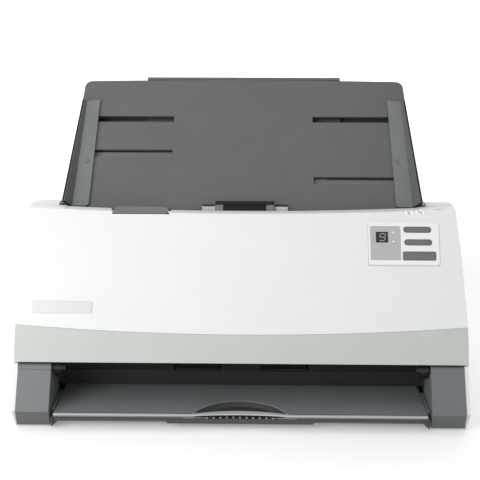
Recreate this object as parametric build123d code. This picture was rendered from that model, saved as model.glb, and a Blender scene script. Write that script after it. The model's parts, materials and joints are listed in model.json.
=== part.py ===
from build123d import *
import math
import os

os.makedirs("parts", exist_ok=True)

# A sheet-fed desktop document scanner. Millimetres, +Z up, +X to the right, the front faces -Y.
# The origin is the centre of the footprint on the desk.

# Overall sizes
BODY_HALF = 159.25
BODY_DEPTH = 170.7
FRONT_Y = -BODY_DEPTH / 2
REAR_Y = BODY_DEPTH / 2
FOOT_Z = 0.0
SHELL_BOTTOM = 1.2
WALL = 2.4
SEAM = 0.4
RUN_FIT = 0.05
CLEAR = 0.5

# Front surface of the cover: an arc in the side view from the lower edge to the mouth
COVER_LOW = (FRONT_Y + 16.3, 44.2)
COVER_HIGH = (FRONT_Y + 65.5, 146.8)
COVER_SAG = 3.0
COVER_DEPTH = 9.0
COVER_BOTTOM = 44.0
COVER_TOP_END = 144.9
COVER_TOP_MID = 140.6
BAND_T = 1.2
BAND_END = 69.0
BAND_MID = 62.9

# Half widths of the body at several heights
WIDE_Z = (14.0, 62.0)
WAIST_Z = 105.0
WAIST_HALF = BODY_HALF - 2.85
TOP_Z = 148.0
TOP_HALF = BODY_HALF - 6.65
FOOT_HALF = BODY_HALF - 1.85

# Front blocks and the output bay between them
BAY_HALF = BODY_HALF - 26.25
BLOCK_OUT = BODY_HALF - 2.75
BLOCK_TOP = (FRONT_Y + 15.25, 38.6)
BLOCK_NOSE = (FRONT_Y, 14.0)
BLOCK_FOOT = (FRONT_Y + 3.75, 2.2)
BLOCK_BACK_Y = FRONT_Y + 38.85
BAY_WALL_Y = FRONT_Y + 51.0
BAY_WALL_TOP = 24.0

# Cover hinge
HINGE = (FRONT_Y + 18.55, 39.3)
PIN_R = 1.6
BEAD_R = 3.0
PIN_IN = BAY_HALF - 9.8
ARM_IN = BAY_HALF - 7.0
ARM_T = 5.5

# Paper path
CHUTE_LEAN = 42.1
PATH_LEAN = 4.0
EXIT_LEAN = 60.0
CHUTE_Y = FRONT_Y + 76.55
CHUTE_Z = 142.0
PATH_START = -4.0
BEND_R = 70.0
SENSOR_RUN = 48.0
EXIT_R = 18.0
GUIDE_GAP = 1.0
GUIDE_T = 2.2
GUIDE_HALF = BODY_HALF - 33.25

# Rollers
PICK_R = 13.0
PICK_W = 36.0
PICK_LEAN = 30.0
FEED_R = 8.0
FEED_W = 24.0
FEED_X = (-92.0, -40.0, 40.0, 92.0)
EXIT_ROLL_R = 7.0
EXIT_W = 33.0
EXIT_X = (-32.0, 32.0)
EXIT_CONTACT = 45.0
SHAFT_R = 2.5
IDLER_R = 5.0
EXIT_IDLER_R = 4.0
IDLER_SHAFT_R = 1.8
NIP = 0.4
CHASSIS_X = BODY_HALF - 25.65
CHASSIS_T = 2.4

# Gears
GEAR_M = 1.4
GEAR_X = CHASSIS_X + 5.0
GEAR_W = 4.0
PICK_TEETH = 13
FEED_TEETH = 13
EXIT_TEETH = 13
UPPER_TEETH = 12
LARGE_TEETH = 34
MOTOR_TEETH = 12
PRESSURE = 20.0
BACKLASH = 0.22

# Image sensors
SENSOR_HALF = GUIDE_HALF - 11.0
SENSOR_H = 14.0
SENSOR_BACK = 15.0
GLASS_HALF = SENSOR_HALF - 3.0
GLASS_H = 11.0
FRONT_SENSOR_W = 17.0
REAR_SENSOR_W = 31.0

# Input chute
CHUTE_BOTTOM_HALF = BODY_HALF - 28.75
CHUTE_TOP_HALF = CHUTE_BOTTOM_HALF - 7.0
CHUTE_LEN = 111.0
CHUTE_T = 2.4
CHUTE_THICK = 10.8
CHUTE_CORNER = 6.0
BACK_T = 1.8
LUG_X = CHUTE_BOTTOM_HALF + 1.1
LUG_W = 4.6

# Paper guides
FENCE_IN = CHUTE_BOTTOM_HALF - 6.3
FENCE_TOP_IN = CHUTE_TOP_HALF - 2.9
FENCE_LEN = 91.0
FENCE_H = 9.0
FENCE_TOP_H = 4.0
FLANGE_W = 12.0
FLANGE_T = 1.6
FENCE_TRAVEL = 60.0
RACK_M = 1.0
PINION_TEETH = 16
RACK_W = 5.0
PINION_T_POS = 34.0

# Output tray
TRAY_HALF = BAY_HALF - 3.0
TRAY_TOP = 12.4
TRAY_T = 2.2
TRAY_BACK = FRONT_Y + 127.35
TRAY_TRAVEL = 80.0
STRIP_W = 2.1
STRIP_H = 0.9
SCOOP_HALF = 33.5
SCOOP_R = 35.8
SCOOP_PEAK = 23.3
SCOOP_DEPTH = 2.6
STRIP_RISE = 2.3

# Control panel, measured along the curved front from its lower edge
PANEL_X = BODY_HALF - 44.05
PANEL_S = 85.4
PANEL_W = 50.2
PANEL_H = 30.6
PANEL_RAISE = 0.5
LABEL_W = 21.2
LABEL_H = 24.4
BUTTON_RAISE = 1.1
PILL_W = 19.2
PILL_H = 3.8
SCAN_W = 22.9
SCAN_H = 5.8
BUTTON_TRAVEL = 0.6

# Separation pad, lever and name plate
PAD_HALF = 21.3
PAD_PIN_R = 0.9
PAD_TOP = 147.0
CLIP_T = 0.8
CLIP_W = 5.4
PAD_PIVOT = (FRONT_Y + 67.45, 137.4)
LEVER_X = -(BODY_HALF - 86.75)
LEVER_W = 40.0
LEVER_Z = 140.6
LEVER_TOP = 145.3
NAME_X = -(BODY_HALF - 33.25)
NAME_S = 38.6
NAME_W = 42.4
NAME_H = 8.4

# Top, back and shoulders of the body in the side view
REAR_SLOPE = 15.0
KNEE = (REAR_Y - 37.35, 122.5)
REAR_ARC_END = 73.8
REAR_FRONT_Y = CHUTE_Y + 12.8
SHOULDER_Z = 144.8
SHOULDER_FRONT_Z = 143.2
SHOULDER_CREST = (KNEE[0] - 31.3, 139.43)
SHOULDER_WAIST = (KNEE[0] - 14.0, 128.2)
SHOULDER_END_Y = KNEE[0] - 2.0
SHOULDER_FALL = 33.0
SHOULDER_RIDGE_Y = CHUTE_Y + 0.8
REAR_HALF = BODY_HALF - 26.25
SIDE_IN = BODY_HALF - 25.85
FLANGE_TOP = 2.2

# Ports and air slots in the back
PORT_Z = 27.0
SWITCH_X = -(REAR_HALF - 21.0)
USB_X = SWITCH_X + 50.0
USB_W = 12.0
USB_H = 10.8
JACK_X = SWITCH_X + 26.0
JACK_R = 5.2
SWITCH_W = 19.0
SWITCH_H = 12.6
LOCK_X = REAR_HALF - 15.0
LOCK_Z = 18.0
LOCK_W = 7.0
LOCK_H = 3.2
VENT_X = 40.0
VENT_Z = 48.0
VENT_W = 2.6
VENT_H = 26.0
VENT_COUNT = 12
VENT_PITCH = 6.5
PORT_GAP = 0.35

# Floor, feet and apron
PAN_Z = 4.2
PAN_TOP = 6.6
PAN_FRONT = FRONT_Y + 5.75
PAN_STEP_Y = BLOCK_BACK_Y + 0.5
TRAY_GAP = 0.3
FOOT_R = 8.0
FOOT_X = BODY_HALF - 45.25
FOOT_Y = (FRONT_Y + 23.35, REAR_Y - 15.35)
APRON_TOP = 9.6

# Bearings, guides, shafts and motor
BUSH_R = 4.4
BUSH_LIP = 0.5
GUIDE_SPLIT = 42.0
HOOK_CLEAR_Z = 92.0
SHAFT_END = GEAR_X + GEAR_W + 0.6
MOTOR_R = 17.0
MOTOR_L = 24.0
IDLER_END = GUIDE_HALF - 0.6
IDLER_W = 18.0

# Mouth lip and the frame of the cover
LIP_TOP = 141.1
LIP_BACK = -5.4
LIP_LOW_S = 105.5
END_WALL_T = 2.4
LIP_T = 1.4
LIP_RISE = 1.1
LIP_FOOT_Z = 139.4
PAD_X = 2.2
PAD_CUT = PAD_HALF + 0.8
PAD_FRONT = -4.2
CAP_Z = PAD_TOP - 1.6
FLAP_FOOT_Z = 139.2
FLAP_TOP_Z = 144.4
FLAP_OUT = 31.0

# Switch board, keys and display
BOARD_TOP = -4.9
BOARD_T = 1.0
PILL_1 = (PANEL_X + 9.8, 95.65, PILL_W, PILL_H, PILL_H / 2 - 0.02)
PILL_2 = (PANEL_X + 10.2, 86.4, PILL_W, PILL_H, PILL_H / 2 - 0.02)
SCAN = (PANEL_X + 10.9, 76.55, SCAN_W, SCAN_H, 0.5)
BUTTONS = (PILL_1, PILL_2, SCAN)
LABEL_DX = -12.9
LABEL_S = PANEL_S + 0.4
DISPLAY_DX = -15.4
DISPLAY_S = 90.05
DISPLAY_W = 8.7
DISPLAY_H = 7.8
LIGHT_DX = -7.1
LIGHT_S = (93.9, 87.1)

# Cover latch
LATCH_C = (FRONT_Y + 49.15, 106.5)
LATCH_R = 1.5
LATCH_OUT = CHASSIS_X - 2.0
LATCH_REACH = 11.0
COLLAR_R = 2.4
STRIKER_R = 1.2
STRIKER_IN = CHASSIS_X - 5.8

# Guide stems, racks and the stowed extension
STEM_X = FENCE_IN - 6.7
STEM_W = 8.0
PIVOT_R = 2.5
RACK_T = 5.0
SLOT_GAP = 0.6
PEG_T_POS = 76.0
FLANGE_LIFT = 0.3
EXT_HALF = 75.0
EXT_T = (24.0, CHUTE_LEN + 2.2)
EXT_N = (-8.1, -6.1)
EXT_TRAVEL = 60.0
GROOVE_COUNT = 5
GROOVE_T = 30.0
GROOVE_PITCH = 14.0
GROOVE_W = 3.0

# Tray edge and grip
STRIP_BACK_RISE = 7.2
BOSS_HALF = 40.0
BOSS_Z = 8.6

# Main board and power switch
BOARD_Y = REAR_Y - 16.35
PORT_FRONT = BOARD_Y + 1.6
ROCKER_PIVOT_Y = REAR_Y - 2.6
ROCKER_HALF = 7.0
ROCKER_H = 8.4
ROCKER_TILT = 7.0
FRAME_LIP = 1.0
ROCKER_PIN_R = 0.9


def save(part, name):
    """Write one node."""
    export_step(part, f"parts/{name}.step")


def along_x(face, x0, x1):
    """A side-view outline (Y, Z) carried from x0 to x1."""
    return extrude(Plane.YZ.offset(x0) * face, x1 - x0)


def along_y(face, y0, y1):
    """A front-view outline (X, Z) carried from y0 to y1."""
    return extrude(Plane.XZ.offset(-y1) * face, y1 - y0)


def block(x0, x1, y0, y1, z0, z1):
    """A box between two corners."""
    return Pos((x0 + x1) / 2, (y0 + y1) / 2, (z0 + z1) / 2) * Box(x1 - x0, y1 - y0, z1 - z0)


def rod_x(centre, radius, x0, x1):
    """A round bar along X through the side-view point centre."""
    plane = Plane(origin=(x0, centre[0], centre[1]), x_dir=(0, 1, 0), z_dir=(1, 0, 0))
    return plane * Cylinder(radius, x1 - x0, align=(Align.CENTER, Align.CENTER, Align.MIN))


def polygon(*points):
    """A flat face with straight sides."""
    return make_face(Polyline(*points, close=True))


def mirrored(part):
    """The same piece on the other side of the centre plane."""
    return mirror(part, about=Plane.YZ)


# Front surface geometry

def arc_centre(start, end, sag):
    """Centre and radius of the arc that bows forward by sag between two side-view points."""
    chord = math.dist(start, end)
    radius = (chord * chord / 4 + sag * sag) / (2 * sag)
    along = ((end[0] - start[0]) / chord, (end[1] - start[1]) / chord)
    middle = ((start[0] + end[0]) / 2, (start[1] + end[1]) / 2)
    reach = radius - sag
    return (middle[0] + along[1] * reach, middle[1] - along[0] * reach), radius


FRONT_C, FRONT_R = arc_centre(COVER_LOW, COVER_HIGH, COVER_SAG)
FRONT_A = math.atan2(COVER_LOW[1] - FRONT_C[1], COVER_LOW[0] - FRONT_C[0])


def front_point(s, off=0.0):
    """Side-view point at length s up the cover, off millimetres outward."""
    angle = FRONT_A - s / FRONT_R
    reach = FRONT_R + off
    return (FRONT_C[0] + reach * math.cos(angle), FRONT_C[1] + reach * math.sin(angle))


def front_normal(s):
    """Outward direction of the cover in the side view."""
    angle = FRONT_A - s / FRONT_R
    return (math.cos(angle), math.sin(angle))


def front_arc(off, s0, s1):
    """Edge that follows the cover at the given offset."""
    return ThreePointArc(front_point(s0, off), front_point((s0 + s1) / 2, off), front_point(s1, off))


def front_band(off0, off1, s0, s1):
    """Side-view face between two offsets of the cover's front surface."""
    return make_face([
        front_arc(off0, s0, s1),
        Line(front_point(s1, off0), front_point(s1, off1)),
        front_arc(off1, s0, s1),
        Line(front_point(s0, off0), front_point(s0, off1)),
    ])


def front_plane(x, s, off=0.0):
    """Plane on the cover's front: x to the right, y up the surface, z outward."""
    y, z = front_point(s, off)
    ny, nz = front_normal(s)
    return Plane(origin=(x, y, z), x_dir=(1, 0, 0), z_dir=(0, ny, nz))


def body_outline(inset=0.0):
    """Front-view outline of the body, narrower toward the top."""
    foot = FOOT_HALF - inset
    wide = BODY_HALF - inset
    high = TOP_HALF - inset
    waist = WAIST_HALF - inset
    return make_face([
        Line((-foot, SHELL_BOTTOM), (foot, SHELL_BOTTOM)),
        Line((foot, SHELL_BOTTOM), (wide, WIDE_Z[0])),
        Line((wide, WIDE_Z[0]), (wide, WIDE_Z[1])),
        ThreePointArc((wide, WIDE_Z[1]), (waist, WAIST_Z), (high, TOP_Z)),
        Line((high, TOP_Z), (-high, TOP_Z)),
        ThreePointArc((-high, TOP_Z), (-waist, WAIST_Z), (-wide, WIDE_Z[1])),
        Line((-wide, WIDE_Z[1]), (-wide, WIDE_Z[0])),
        Line((-wide, WIDE_Z[0]), (-foot, SHELL_BOTTOM)),
    ])


def smile(end, mid, low):
    """Front-view face below a sagging line, from side to side, down to the height low."""
    half = BODY_HALF + 5
    return make_face([
        Line((-half, low), (half, low)),
        Line((half, low), (half, end)),
        ThreePointArc((half, end), (0, mid), (-half, end)),
        Line((-half, end), (-half, low)),
    ])


# Paper path geometry

LEAN0 = math.radians(CHUTE_LEAN)
LEAN1 = math.radians(PATH_LEAN)
LEAN2 = math.radians(EXIT_LEAN)


def step(point, lean, length):
    """The point a length further down the path at a lean from the vertical."""
    return (point[0] - length * math.sin(lean), point[1] - length * math.cos(lean))


def behind(point, lean, e):
    """The point moved e millimetres behind the path."""
    return (point[0] + e * math.cos(lean), point[1] - e * math.sin(lean))


PATH_1 = step((CHUTE_Y, CHUTE_Z), LEAN0, -PATH_START)
BEND_C = behind(PATH_1, LEAN0, BEND_R)
PATH_2 = behind(BEND_C, LEAN1, -BEND_R)
PATH_3 = step(PATH_2, LEAN1, SENSOR_RUN)
EXIT_C = behind(PATH_3, LEAN1, -EXIT_R)


def on_bend(lean_deg, e=0.0):
    """Point on the upper bend where the path leans by lean_deg, e behind it."""
    return behind(BEND_C, math.radians(lean_deg), e - BEND_R)


def on_exit(lean_deg, e=0.0):
    """Point on the exit bend where the path leans by lean_deg, e behind it."""
    return behind(EXIT_C, math.radians(lean_deg), e + EXIT_R)


def on_run(w, e=0.0):
    """Point on the straight run, w below its top and e behind it."""
    return behind(step(PATH_2, LEAN1, w), LEAN1, e)


def path_edges(e, high_deg, low_deg):
    """Edges that follow the path at offset e, between two leans on its bends."""
    high_mid = (high_deg + PATH_LEAN) / 2
    low_mid = (low_deg + PATH_LEAN) / 2
    return [
        ThreePointArc(on_bend(high_deg, e), on_bend(high_mid, e), on_bend(PATH_LEAN, e)),
        Line(on_run(0, e), on_run(SENSOR_RUN, e)),
        ThreePointArc(on_exit(PATH_LEAN, e), on_exit(low_mid, e), on_exit(low_deg, e)),
    ]


def path_band(e0, e1, high_deg, low_deg):
    """Side-view face of a guide plate between two offsets."""
    ends = [
        Line(on_bend(high_deg, e0), on_bend(high_deg, e1)),
        Line(on_exit(low_deg, e0), on_exit(low_deg, e1)),
    ]
    return make_face(path_edges(e0, high_deg, low_deg) + path_edges(e1, high_deg, low_deg) + ends)


RUN_PLANE = Plane(origin=(0, PATH_2[0], PATH_2[1]), x_dir=(1, 0, 0),
                  z_dir=(0, -math.cos(LEAN1), math.sin(LEAN1)))

PICK_C = on_bend(PICK_LEAN, PICK_R)
FEED_C = on_run(0, FEED_R)
EXIT_ROLL_C = on_exit(EXIT_CONTACT, EXIT_ROLL_R)
FEED_IDLER_C = on_run(0, -IDLER_R - NIP)
EXIT_IDLER_C = on_exit(EXIT_CONTACT, -EXIT_IDLER_R - NIP)


def run_box(x0, x1, w0, w1, n0, n1):
    """A box on the straight run: across X, from w0 to w1 down it, n0 to n1 in front of it."""
    return RUN_PLANE * block(x0, x1, -w1, -w0, n0, n1)


# Chute geometry: x across, t up the leaning face, n toward the user

CHUTE_PLANE = Plane(origin=(0, CHUTE_Y, CHUTE_Z), x_dir=(1, 0, 0),
                    z_dir=(0, -math.cos(LEAN0), math.sin(LEAN0)))


def chute_box(x0, x1, t0, t1, n0, n1):
    """A box in the chute's own frame."""
    return CHUTE_PLANE * block(x0, x1, t0, t1, n0, n1)


def chute_prism(face, n0, n1):
    """An outline drawn on the chute's face, carried from n0 to n1."""
    return CHUTE_PLANE * extrude(Pos(0, 0, n0) * face, n1 - n0)


# Gear geometry

def gear_face(teeth, module, phase_deg, bore):
    """Gear outline with involute flanks; the first tooth is centred at phase_deg."""
    pitch = teeth * module / 2
    base = pitch * math.cos(math.radians(PRESSURE))
    tip = pitch + 0.9 * module
    root = pitch - 1.2 * module
    pressure = math.radians(PRESSURE)
    half = math.pi / (2 * teeth) - BACKLASH / (2 * pitch)
    spread = half + math.tan(pressure) - pressure
    points = []
    for k in range(teeth):
        mid = math.radians(phase_deg) + 2 * math.pi * k / teeth
        flank = []
        for radius in (max(base, root), (base + tip) / 2, tip):
            roll = math.acos(min(1.0, base / radius))
            flank.append((radius, spread - (math.tan(roll) - roll)))
        points.append((root * math.cos(mid - flank[0][1]), root * math.sin(mid - flank[0][1])))
        for radius, angle in flank:
            points.append((radius * math.cos(mid - angle), radius * math.sin(mid - angle)))
        for radius, angle in reversed(flank):
            points.append((radius * math.cos(mid + angle), radius * math.sin(mid + angle)))
        points.append((root * math.cos(mid + flank[0][1]), root * math.sin(mid + flank[0][1])))
    unique = [points[0]]
    for point in points[1:]:
        if math.dist(point, unique[-1]) > 0.02:
            unique.append(point)
    return polygon(*unique) - Circle(bore)


def meshed_phase(centre, phase, teeth, other, other_teeth):
    """Phase that puts a gear at other in mesh with the gear at centre."""
    line = math.degrees(math.atan2(other[1] - centre[1], other[0] - centre[0]))
    return line + 180 + 180 / other_teeth - (phase - line) * teeth / other_teeth


def meshed_centre(first, reach_1, second, reach_2):
    """The point behind two centres at the two given reaches."""
    gap = math.dist(first, second)
    along = (reach_1 ** 2 - reach_2 ** 2 + gap ** 2) / (2 * gap)
    side = math.sqrt(reach_1 ** 2 - along ** 2)
    u = ((second[0] - first[0]) / gap, (second[1] - first[1]) / gap)
    return (first[0] + u[0] * along - u[1] * side, first[1] + u[1] * along + u[0] * side)


def gear_reach(a, b):
    """Centre distance of two meshed gears."""
    return GEAR_M * (a + b) / 2


UPPER_C = meshed_centre(PICK_C, gear_reach(PICK_TEETH, UPPER_TEETH),
                        FEED_C, gear_reach(FEED_TEETH, UPPER_TEETH))
LARGE_C = meshed_centre(FEED_C, gear_reach(FEED_TEETH, LARGE_TEETH),
                        EXIT_ROLL_C, gear_reach(EXIT_TEETH, LARGE_TEETH))
MOTOR_C = (LARGE_C[0] + gear_reach(LARGE_TEETH, MOTOR_TEETH) * math.cos(math.radians(-25)),
           LARGE_C[1] + gear_reach(LARGE_TEETH, MOTOR_TEETH) * math.sin(math.radians(-25)))
FEED_PHASE = 0.0
UPPER_PHASE = meshed_phase(FEED_C, FEED_PHASE, FEED_TEETH, UPPER_C, UPPER_TEETH)
PICK_PHASE = meshed_phase(UPPER_C, UPPER_PHASE, UPPER_TEETH, PICK_C, PICK_TEETH)
LARGE_PHASE = meshed_phase(FEED_C, FEED_PHASE, FEED_TEETH, LARGE_C, LARGE_TEETH)
EXIT_PHASE = meshed_phase(LARGE_C, LARGE_PHASE, LARGE_TEETH, EXIT_ROLL_C, EXIT_TEETH)
MOTOR_PHASE = meshed_phase(LARGE_C, LARGE_PHASE, LARGE_TEETH, MOTOR_C, MOTOR_TEETH)


def gear(centre, teeth, phase, bore):
    """One gear of the train, on the left side."""
    face = Pos(centre[0], centre[1]) * gear_face(teeth, GEAR_M, phase, bore)
    return along_x(face, -GEAR_X - GEAR_W, -GEAR_X)


# Housing

def rear_edges(e, front_y, bottom):
    """Edges of the top and back of the body, e inside the skin."""
    slope = math.radians(REAR_SLOPE)
    knee = (KNEE[0] - e * math.sin(slope), KNEE[1] - e * math.cos(slope))
    front = (front_y, knee[1] + (knee[0] - front_y) * math.tan(slope))
    end = (REAR_Y - e, REAR_ARC_END)
    edges = [
        Line(front, knee),
        TangentArc(knee, end, tangent=(math.cos(slope), -math.sin(slope))),
        Line(end, (REAR_Y - e, bottom)),
    ]
    return edges, front


def s_at(z, off):
    """Length up the cover at which its surface, moved by off, reaches the height z."""
    angle = math.pi - math.asin((z - FRONT_C[1]) / (FRONT_R + off))
    return FRONT_R * (FRONT_A - angle)


def inset(point, slope_deg, e):
    """A side-view point of a falling line moved e under it."""
    slope = math.radians(slope_deg)
    return (point[0] - e * math.sin(slope), point[1] - e * math.cos(slope))


def side_profile(e, bottom):
    """Side-view face of a side shell, e inside its skin, from the cover seam to the back."""
    off = -COVER_DEPTH - SEAM - e
    top_s = s_at(SHOULDER_FRONT_Z - e, off)
    low_s = s_at(COVER_BOTTOM + 1.0, off)
    front_low = front_point(low_s, off)
    front_high = front_point(top_s, off)
    brow = (front_high[0] + 2.4, SHOULDER_Z - e)
    ridge = (SHOULDER_RIDGE_Y, SHOULDER_Z - e)
    crest = inset(SHOULDER_CREST, SHOULDER_FALL, e)
    waist = inset(SHOULDER_WAIST, SHOULDER_FALL, e)
    fall = math.radians(SHOULDER_FALL)
    edges, joint = rear_edges(e, SHOULDER_END_Y - e * math.sin(math.radians(REAR_SLOPE)), bottom)
    return make_face([
        Line((front_low[0], bottom), front_low),
        front_arc(off, low_s, top_s),
        TangentArc(front_high, brow, tangent=(0, 1)),
        Line(brow, ridge),
        TangentArc(ridge, crest, tangent=(1, 0)),
        Line(crest, waist),
        TangentArc(waist, joint, tangent=(math.cos(fall), -math.sin(fall))),
        *edges,
        Line((REAR_Y - e, bottom), (front_low[0], bottom)),
    ])


def side_rim():
    """Side-view face of the rim that frames a front block."""
    low_y = front_point(s_at(COVER_BOTTOM + 1.0, -COVER_DEPTH - SEAM), -COVER_DEPTH - SEAM)[0]
    return polygon(
        (BLOCK_FOOT[0] + 0.8, SHELL_BOTTOM), (BLOCK_NOSE[0] + 0.7, BLOCK_NOSE[1]),
        (BLOCK_TOP[0] - 0.2, BLOCK_TOP[1] - 1.0), (HINGE[0] - 1.6, COVER_BOTTOM - 1.2),
        (low_y, COVER_BOTTOM - 0.6), (low_y + 6, COVER_BOTTOM - 0.6), (low_y + 6, SHELL_BOTTOM))


def side_shell():
    """White side shell, right side: rim round the block, side wall, shoulder and back corner."""
    outer = along_x(side_profile(0, SHELL_BOTTOM), SIDE_IN, BODY_HALF + 2)
    outer += along_x(side_rim(), SIDE_IN, BODY_HALF + 2)
    outer &= along_y(body_outline(), FRONT_Y - 2, REAR_Y + 2)
    inner = along_x(side_profile(WALL, FLANGE_TOP), SIDE_IN - 1, BODY_HALF)
    inner &= along_y(body_outline(WALL + 0.2), FRONT_Y - 2, REAR_Y + 2)
    low_y = front_point(s_at(COVER_BOTTOM + 1.0, -COVER_DEPTH - SEAM), -COVER_DEPTH - SEAM)[0]
    shell = outer - inner
    shell -= block(SIDE_IN - 1, BLOCK_OUT, FRONT_Y - 2, low_y + WALL, FLANGE_TOP, COVER_BOTTOM + 0.5)
    shell -= block(SIDE_IN - 1, BLOCK_OUT, low_y, BLOCK_BACK_Y + CLEAR, FLANGE_TOP, BLOCK_TOP[1])
    return shell


def rear_shell():
    """Top and back of the body between the side shells, with its ports and air slots."""
    outer, front_out = rear_edges(0, REAR_FRONT_Y, SHELL_BOTTOM + 2)
    inner, front_in = rear_edges(WALL, REAR_FRONT_Y, SHELL_BOTTOM + 2)
    low = SHELL_BOTTOM + 2
    band = make_face([*outer, *inner, Line(front_out, front_in),
                      Line((REAR_Y, low), (REAR_Y - WALL, low))])
    shell = along_x(band, -REAR_HALF, REAR_HALF)
    lip = polygon((REAR_FRONT_Y, front_out[1]), (REAR_FRONT_Y + WALL, front_out[1] - 0.7),
                  (REAR_FRONT_Y + WALL, 127.0), (REAR_FRONT_Y, 127.0))
    shell += along_x(lip, -REAR_HALF, REAR_HALF)
    shell -= port_cut(USB_X, PORT_Z, USB_W + 2 * PORT_GAP, USB_H + 2 * PORT_GAP)
    shell -= port_cut(SWITCH_X, PORT_Z, SWITCH_W + 2 * PORT_GAP, SWITCH_H + 2 * PORT_GAP)
    rim = FRAME_LIP + PORT_GAP
    shell -= port_cut(SWITCH_X, PORT_Z, SWITCH_W + 2 * rim, SWITCH_H + 2 * rim) & block(
        -BODY_HALF, 0, REAR_Y - FRAME_LIP - 0.1, REAR_Y + 2, 0, 2 * PORT_Z)
    shell -= Plane(origin=(JACK_X, REAR_Y + 1, PORT_Z), z_dir=(0, -1, 0)) * Cylinder(
        JACK_R + PORT_GAP, 2 * WALL + 2, align=(Align.CENTER, Align.CENTER, Align.MIN))
    shell -= port_cut(LOCK_X, LOCK_Z, LOCK_W, LOCK_H)
    for k in range(VENT_COUNT):
        x = VENT_X + (k - (VENT_COUNT - 1) / 2) * VENT_PITCH
        slot = Plane.XZ.offset(-REAR_Y - 1) * (Pos(x, VENT_Z) * SlotOverall(VENT_H, VENT_W, rotation=90))
        shell -= extrude(slot, WALL + 3)
    return shell


def port_cut(x, z, width, height):
    """Rectangular hole through the back wall."""
    return block(x - width / 2, x + width / 2, REAR_Y - WALL - 1, REAR_Y + 1, z - height / 2, z + height / 2)


def base_pan():
    """Floor of the machine with tray rails, side beams and screw bosses."""
    half = BAY_HALF - 0.3
    pan = block(-half, half, PAN_FRONT, REAR_Y - WALL, PAN_Z, PAN_TOP)
    pan += block(-CHASSIS_X - 3, CHASSIS_X + 3, PAN_STEP_Y, REAR_Y - WALL, FLANGE_TOP, PAN_TOP)
    pan -= block(-half + 6, half - 6, PAN_STEP_Y - 1, REAR_Y - WALL - 4, FLANGE_TOP - 1, PAN_Z)
    rail = TRAY_HALF - 8.0
    for x in (-rail, -rail + 64.0, rail - 64.0, rail):
        pan += block(x - 2, x + 2, PAN_FRONT, TRAY_BACK + 4, PAN_TOP, TRAY_TOP - TRAY_T - TRAY_GAP)
    for side in (-1, 1):
        wall_x = side * (TRAY_HALF + 0.4)
        pan += block(min(wall_x, side * half), max(wall_x, side * half), PAN_FRONT + 3, PAN_STEP_Y,
                     PAN_TOP, TRAY_TOP + 0.4)
    pan += block(-60, 60, TRAY_BACK + 3, TRAY_BACK + 6, PAN_TOP, TRAY_TOP + 4)
    return pan


def rubber_feet():
    """Four round feet with a soft lower edge."""
    foot = Cylinder(FOOT_R, PAN_Z, align=(Align.CENTER, Align.CENTER, Align.MIN))
    foot = chamfer(foot.edges().sort_by(Axis.Z)[0], 0.8)
    places = [Pos(x, y, FOOT_Z) for x in (-FOOT_X, FOOT_X) for y in FOOT_Y]
    return Compound([place * foot for place in places])


def front_block():
    """Dark block at a front corner, hollow, with the bead that carries the cover's pivot pin."""
    back_y = BLOCK_BACK_Y
    shape = polygon(BLOCK_TOP, BLOCK_NOSE, BLOCK_FOOT, (back_y, BLOCK_FOOT[1]),
                    (back_y, 30.0), (HINGE[0] + 6.8, BLOCK_TOP[1]))
    hollow = polygon((HINGE[0] + 0.8, 33.5), (BLOCK_NOSE[0] + WALL + 0.9, 14.2),
                     (BLOCK_FOOT[0] + WALL + 0.4, 2.0), (back_y - WALL, 2.0), (back_y - WALL, 28.0),
                     (HINGE[0] + 6.8, 33.5))
    body = along_x(shape, BAY_HALF, BLOCK_OUT) + rod_x(HINGE, BEAD_R, BAY_HALF, BLOCK_OUT)
    nose = body.edges().filter_by(Axis.X).group_by(Axis.Y)[0]
    body = fillet(nose, 1.2)
    body -= along_x(hollow, BAY_HALF + WALL, BLOCK_OUT - WALL)
    body -= rod_x(HINGE, PIN_R + RUN_FIT, BAY_HALF - 1, BLOCK_OUT - 1.5)
    return body


def front_apron():
    """Grey strip under the tray: raised underside, deeper middle, legs at the ends."""
    half = BAY_HALF - 1.0
    leg = half - 5.0
    tab_top, tab_foot = 53.0, 50.6
    low, arch, tab = 2.4, 6.6, 4.2
    outline = polygon(
        (-half, APRON_TOP), (-half, low), (-half + 1.2, low), (-leg, arch - 0.6), (-tab_top, arch),
        (-tab_foot, tab), (tab_foot, tab), (tab_top, arch), (leg, arch - 0.6), (half - 1.2, low),
        (half, low), (half, APRON_TOP))
    face_y = FRONT_Y + 3.4
    apron = along_y(outline, face_y, PAN_FRONT)
    apron -= block(-BOSS_HALF - 1, BOSS_HALF + 1, face_y - 1, PAN_FRONT + 1, BOSS_Z - 0.4, APRON_TOP + 1)
    for side in (-1, 1):
        apron += block(side * half - 1.0 if side > 0 else side * half, side * half if side > 0
                       else side * half + 1.0, FRONT_Y + 1.4, face_y, low, APRON_TOP)
    return apron


# Inner frame of the body

def chassis_plate():
    """Upright plate, right side, that carries the shafts, a striker pin and a chute pocket."""
    off = -COVER_DEPTH - SEAM - WALL - CLEAR
    front = [front_point(s_at(z, off), off) for z in (54.0, 74.0, 96.0, 114.0, 131.0)]
    outline = polygon(
        (BLOCK_BACK_Y + 0.4, PAN_TOP), (BLOCK_BACK_Y + 0.4, 40.0), *front,
        (CHUTE_Y + 8.8, 131.0), (KNEE[0] - 18.0, 121.0), (REAR_Y - 23.35, 96.0),
        (REAR_Y - 11.35, 60.0), (REAR_Y - 9.35, PAN_TOP))
    outline = fillet(outline.vertices().filter_by(lambda v: v.Y > PAN_TOP + 1), 3.0)
    outline -= Pos(*PICK_C) * Circle(BUSH_R)
    outline -= Pos(*FEED_C) * Circle(BUSH_R)
    outline -= Pos(*EXIT_ROLL_C) * Circle(BUSH_R)
    plate = along_x(outline, CHASSIS_X, CHASSIS_X + CHASSIS_T)
    plate += rod_x(STRIKER_C, STRIKER_R, STRIKER_IN, CHASSIS_X)
    return plate + chute_socket()


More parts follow.
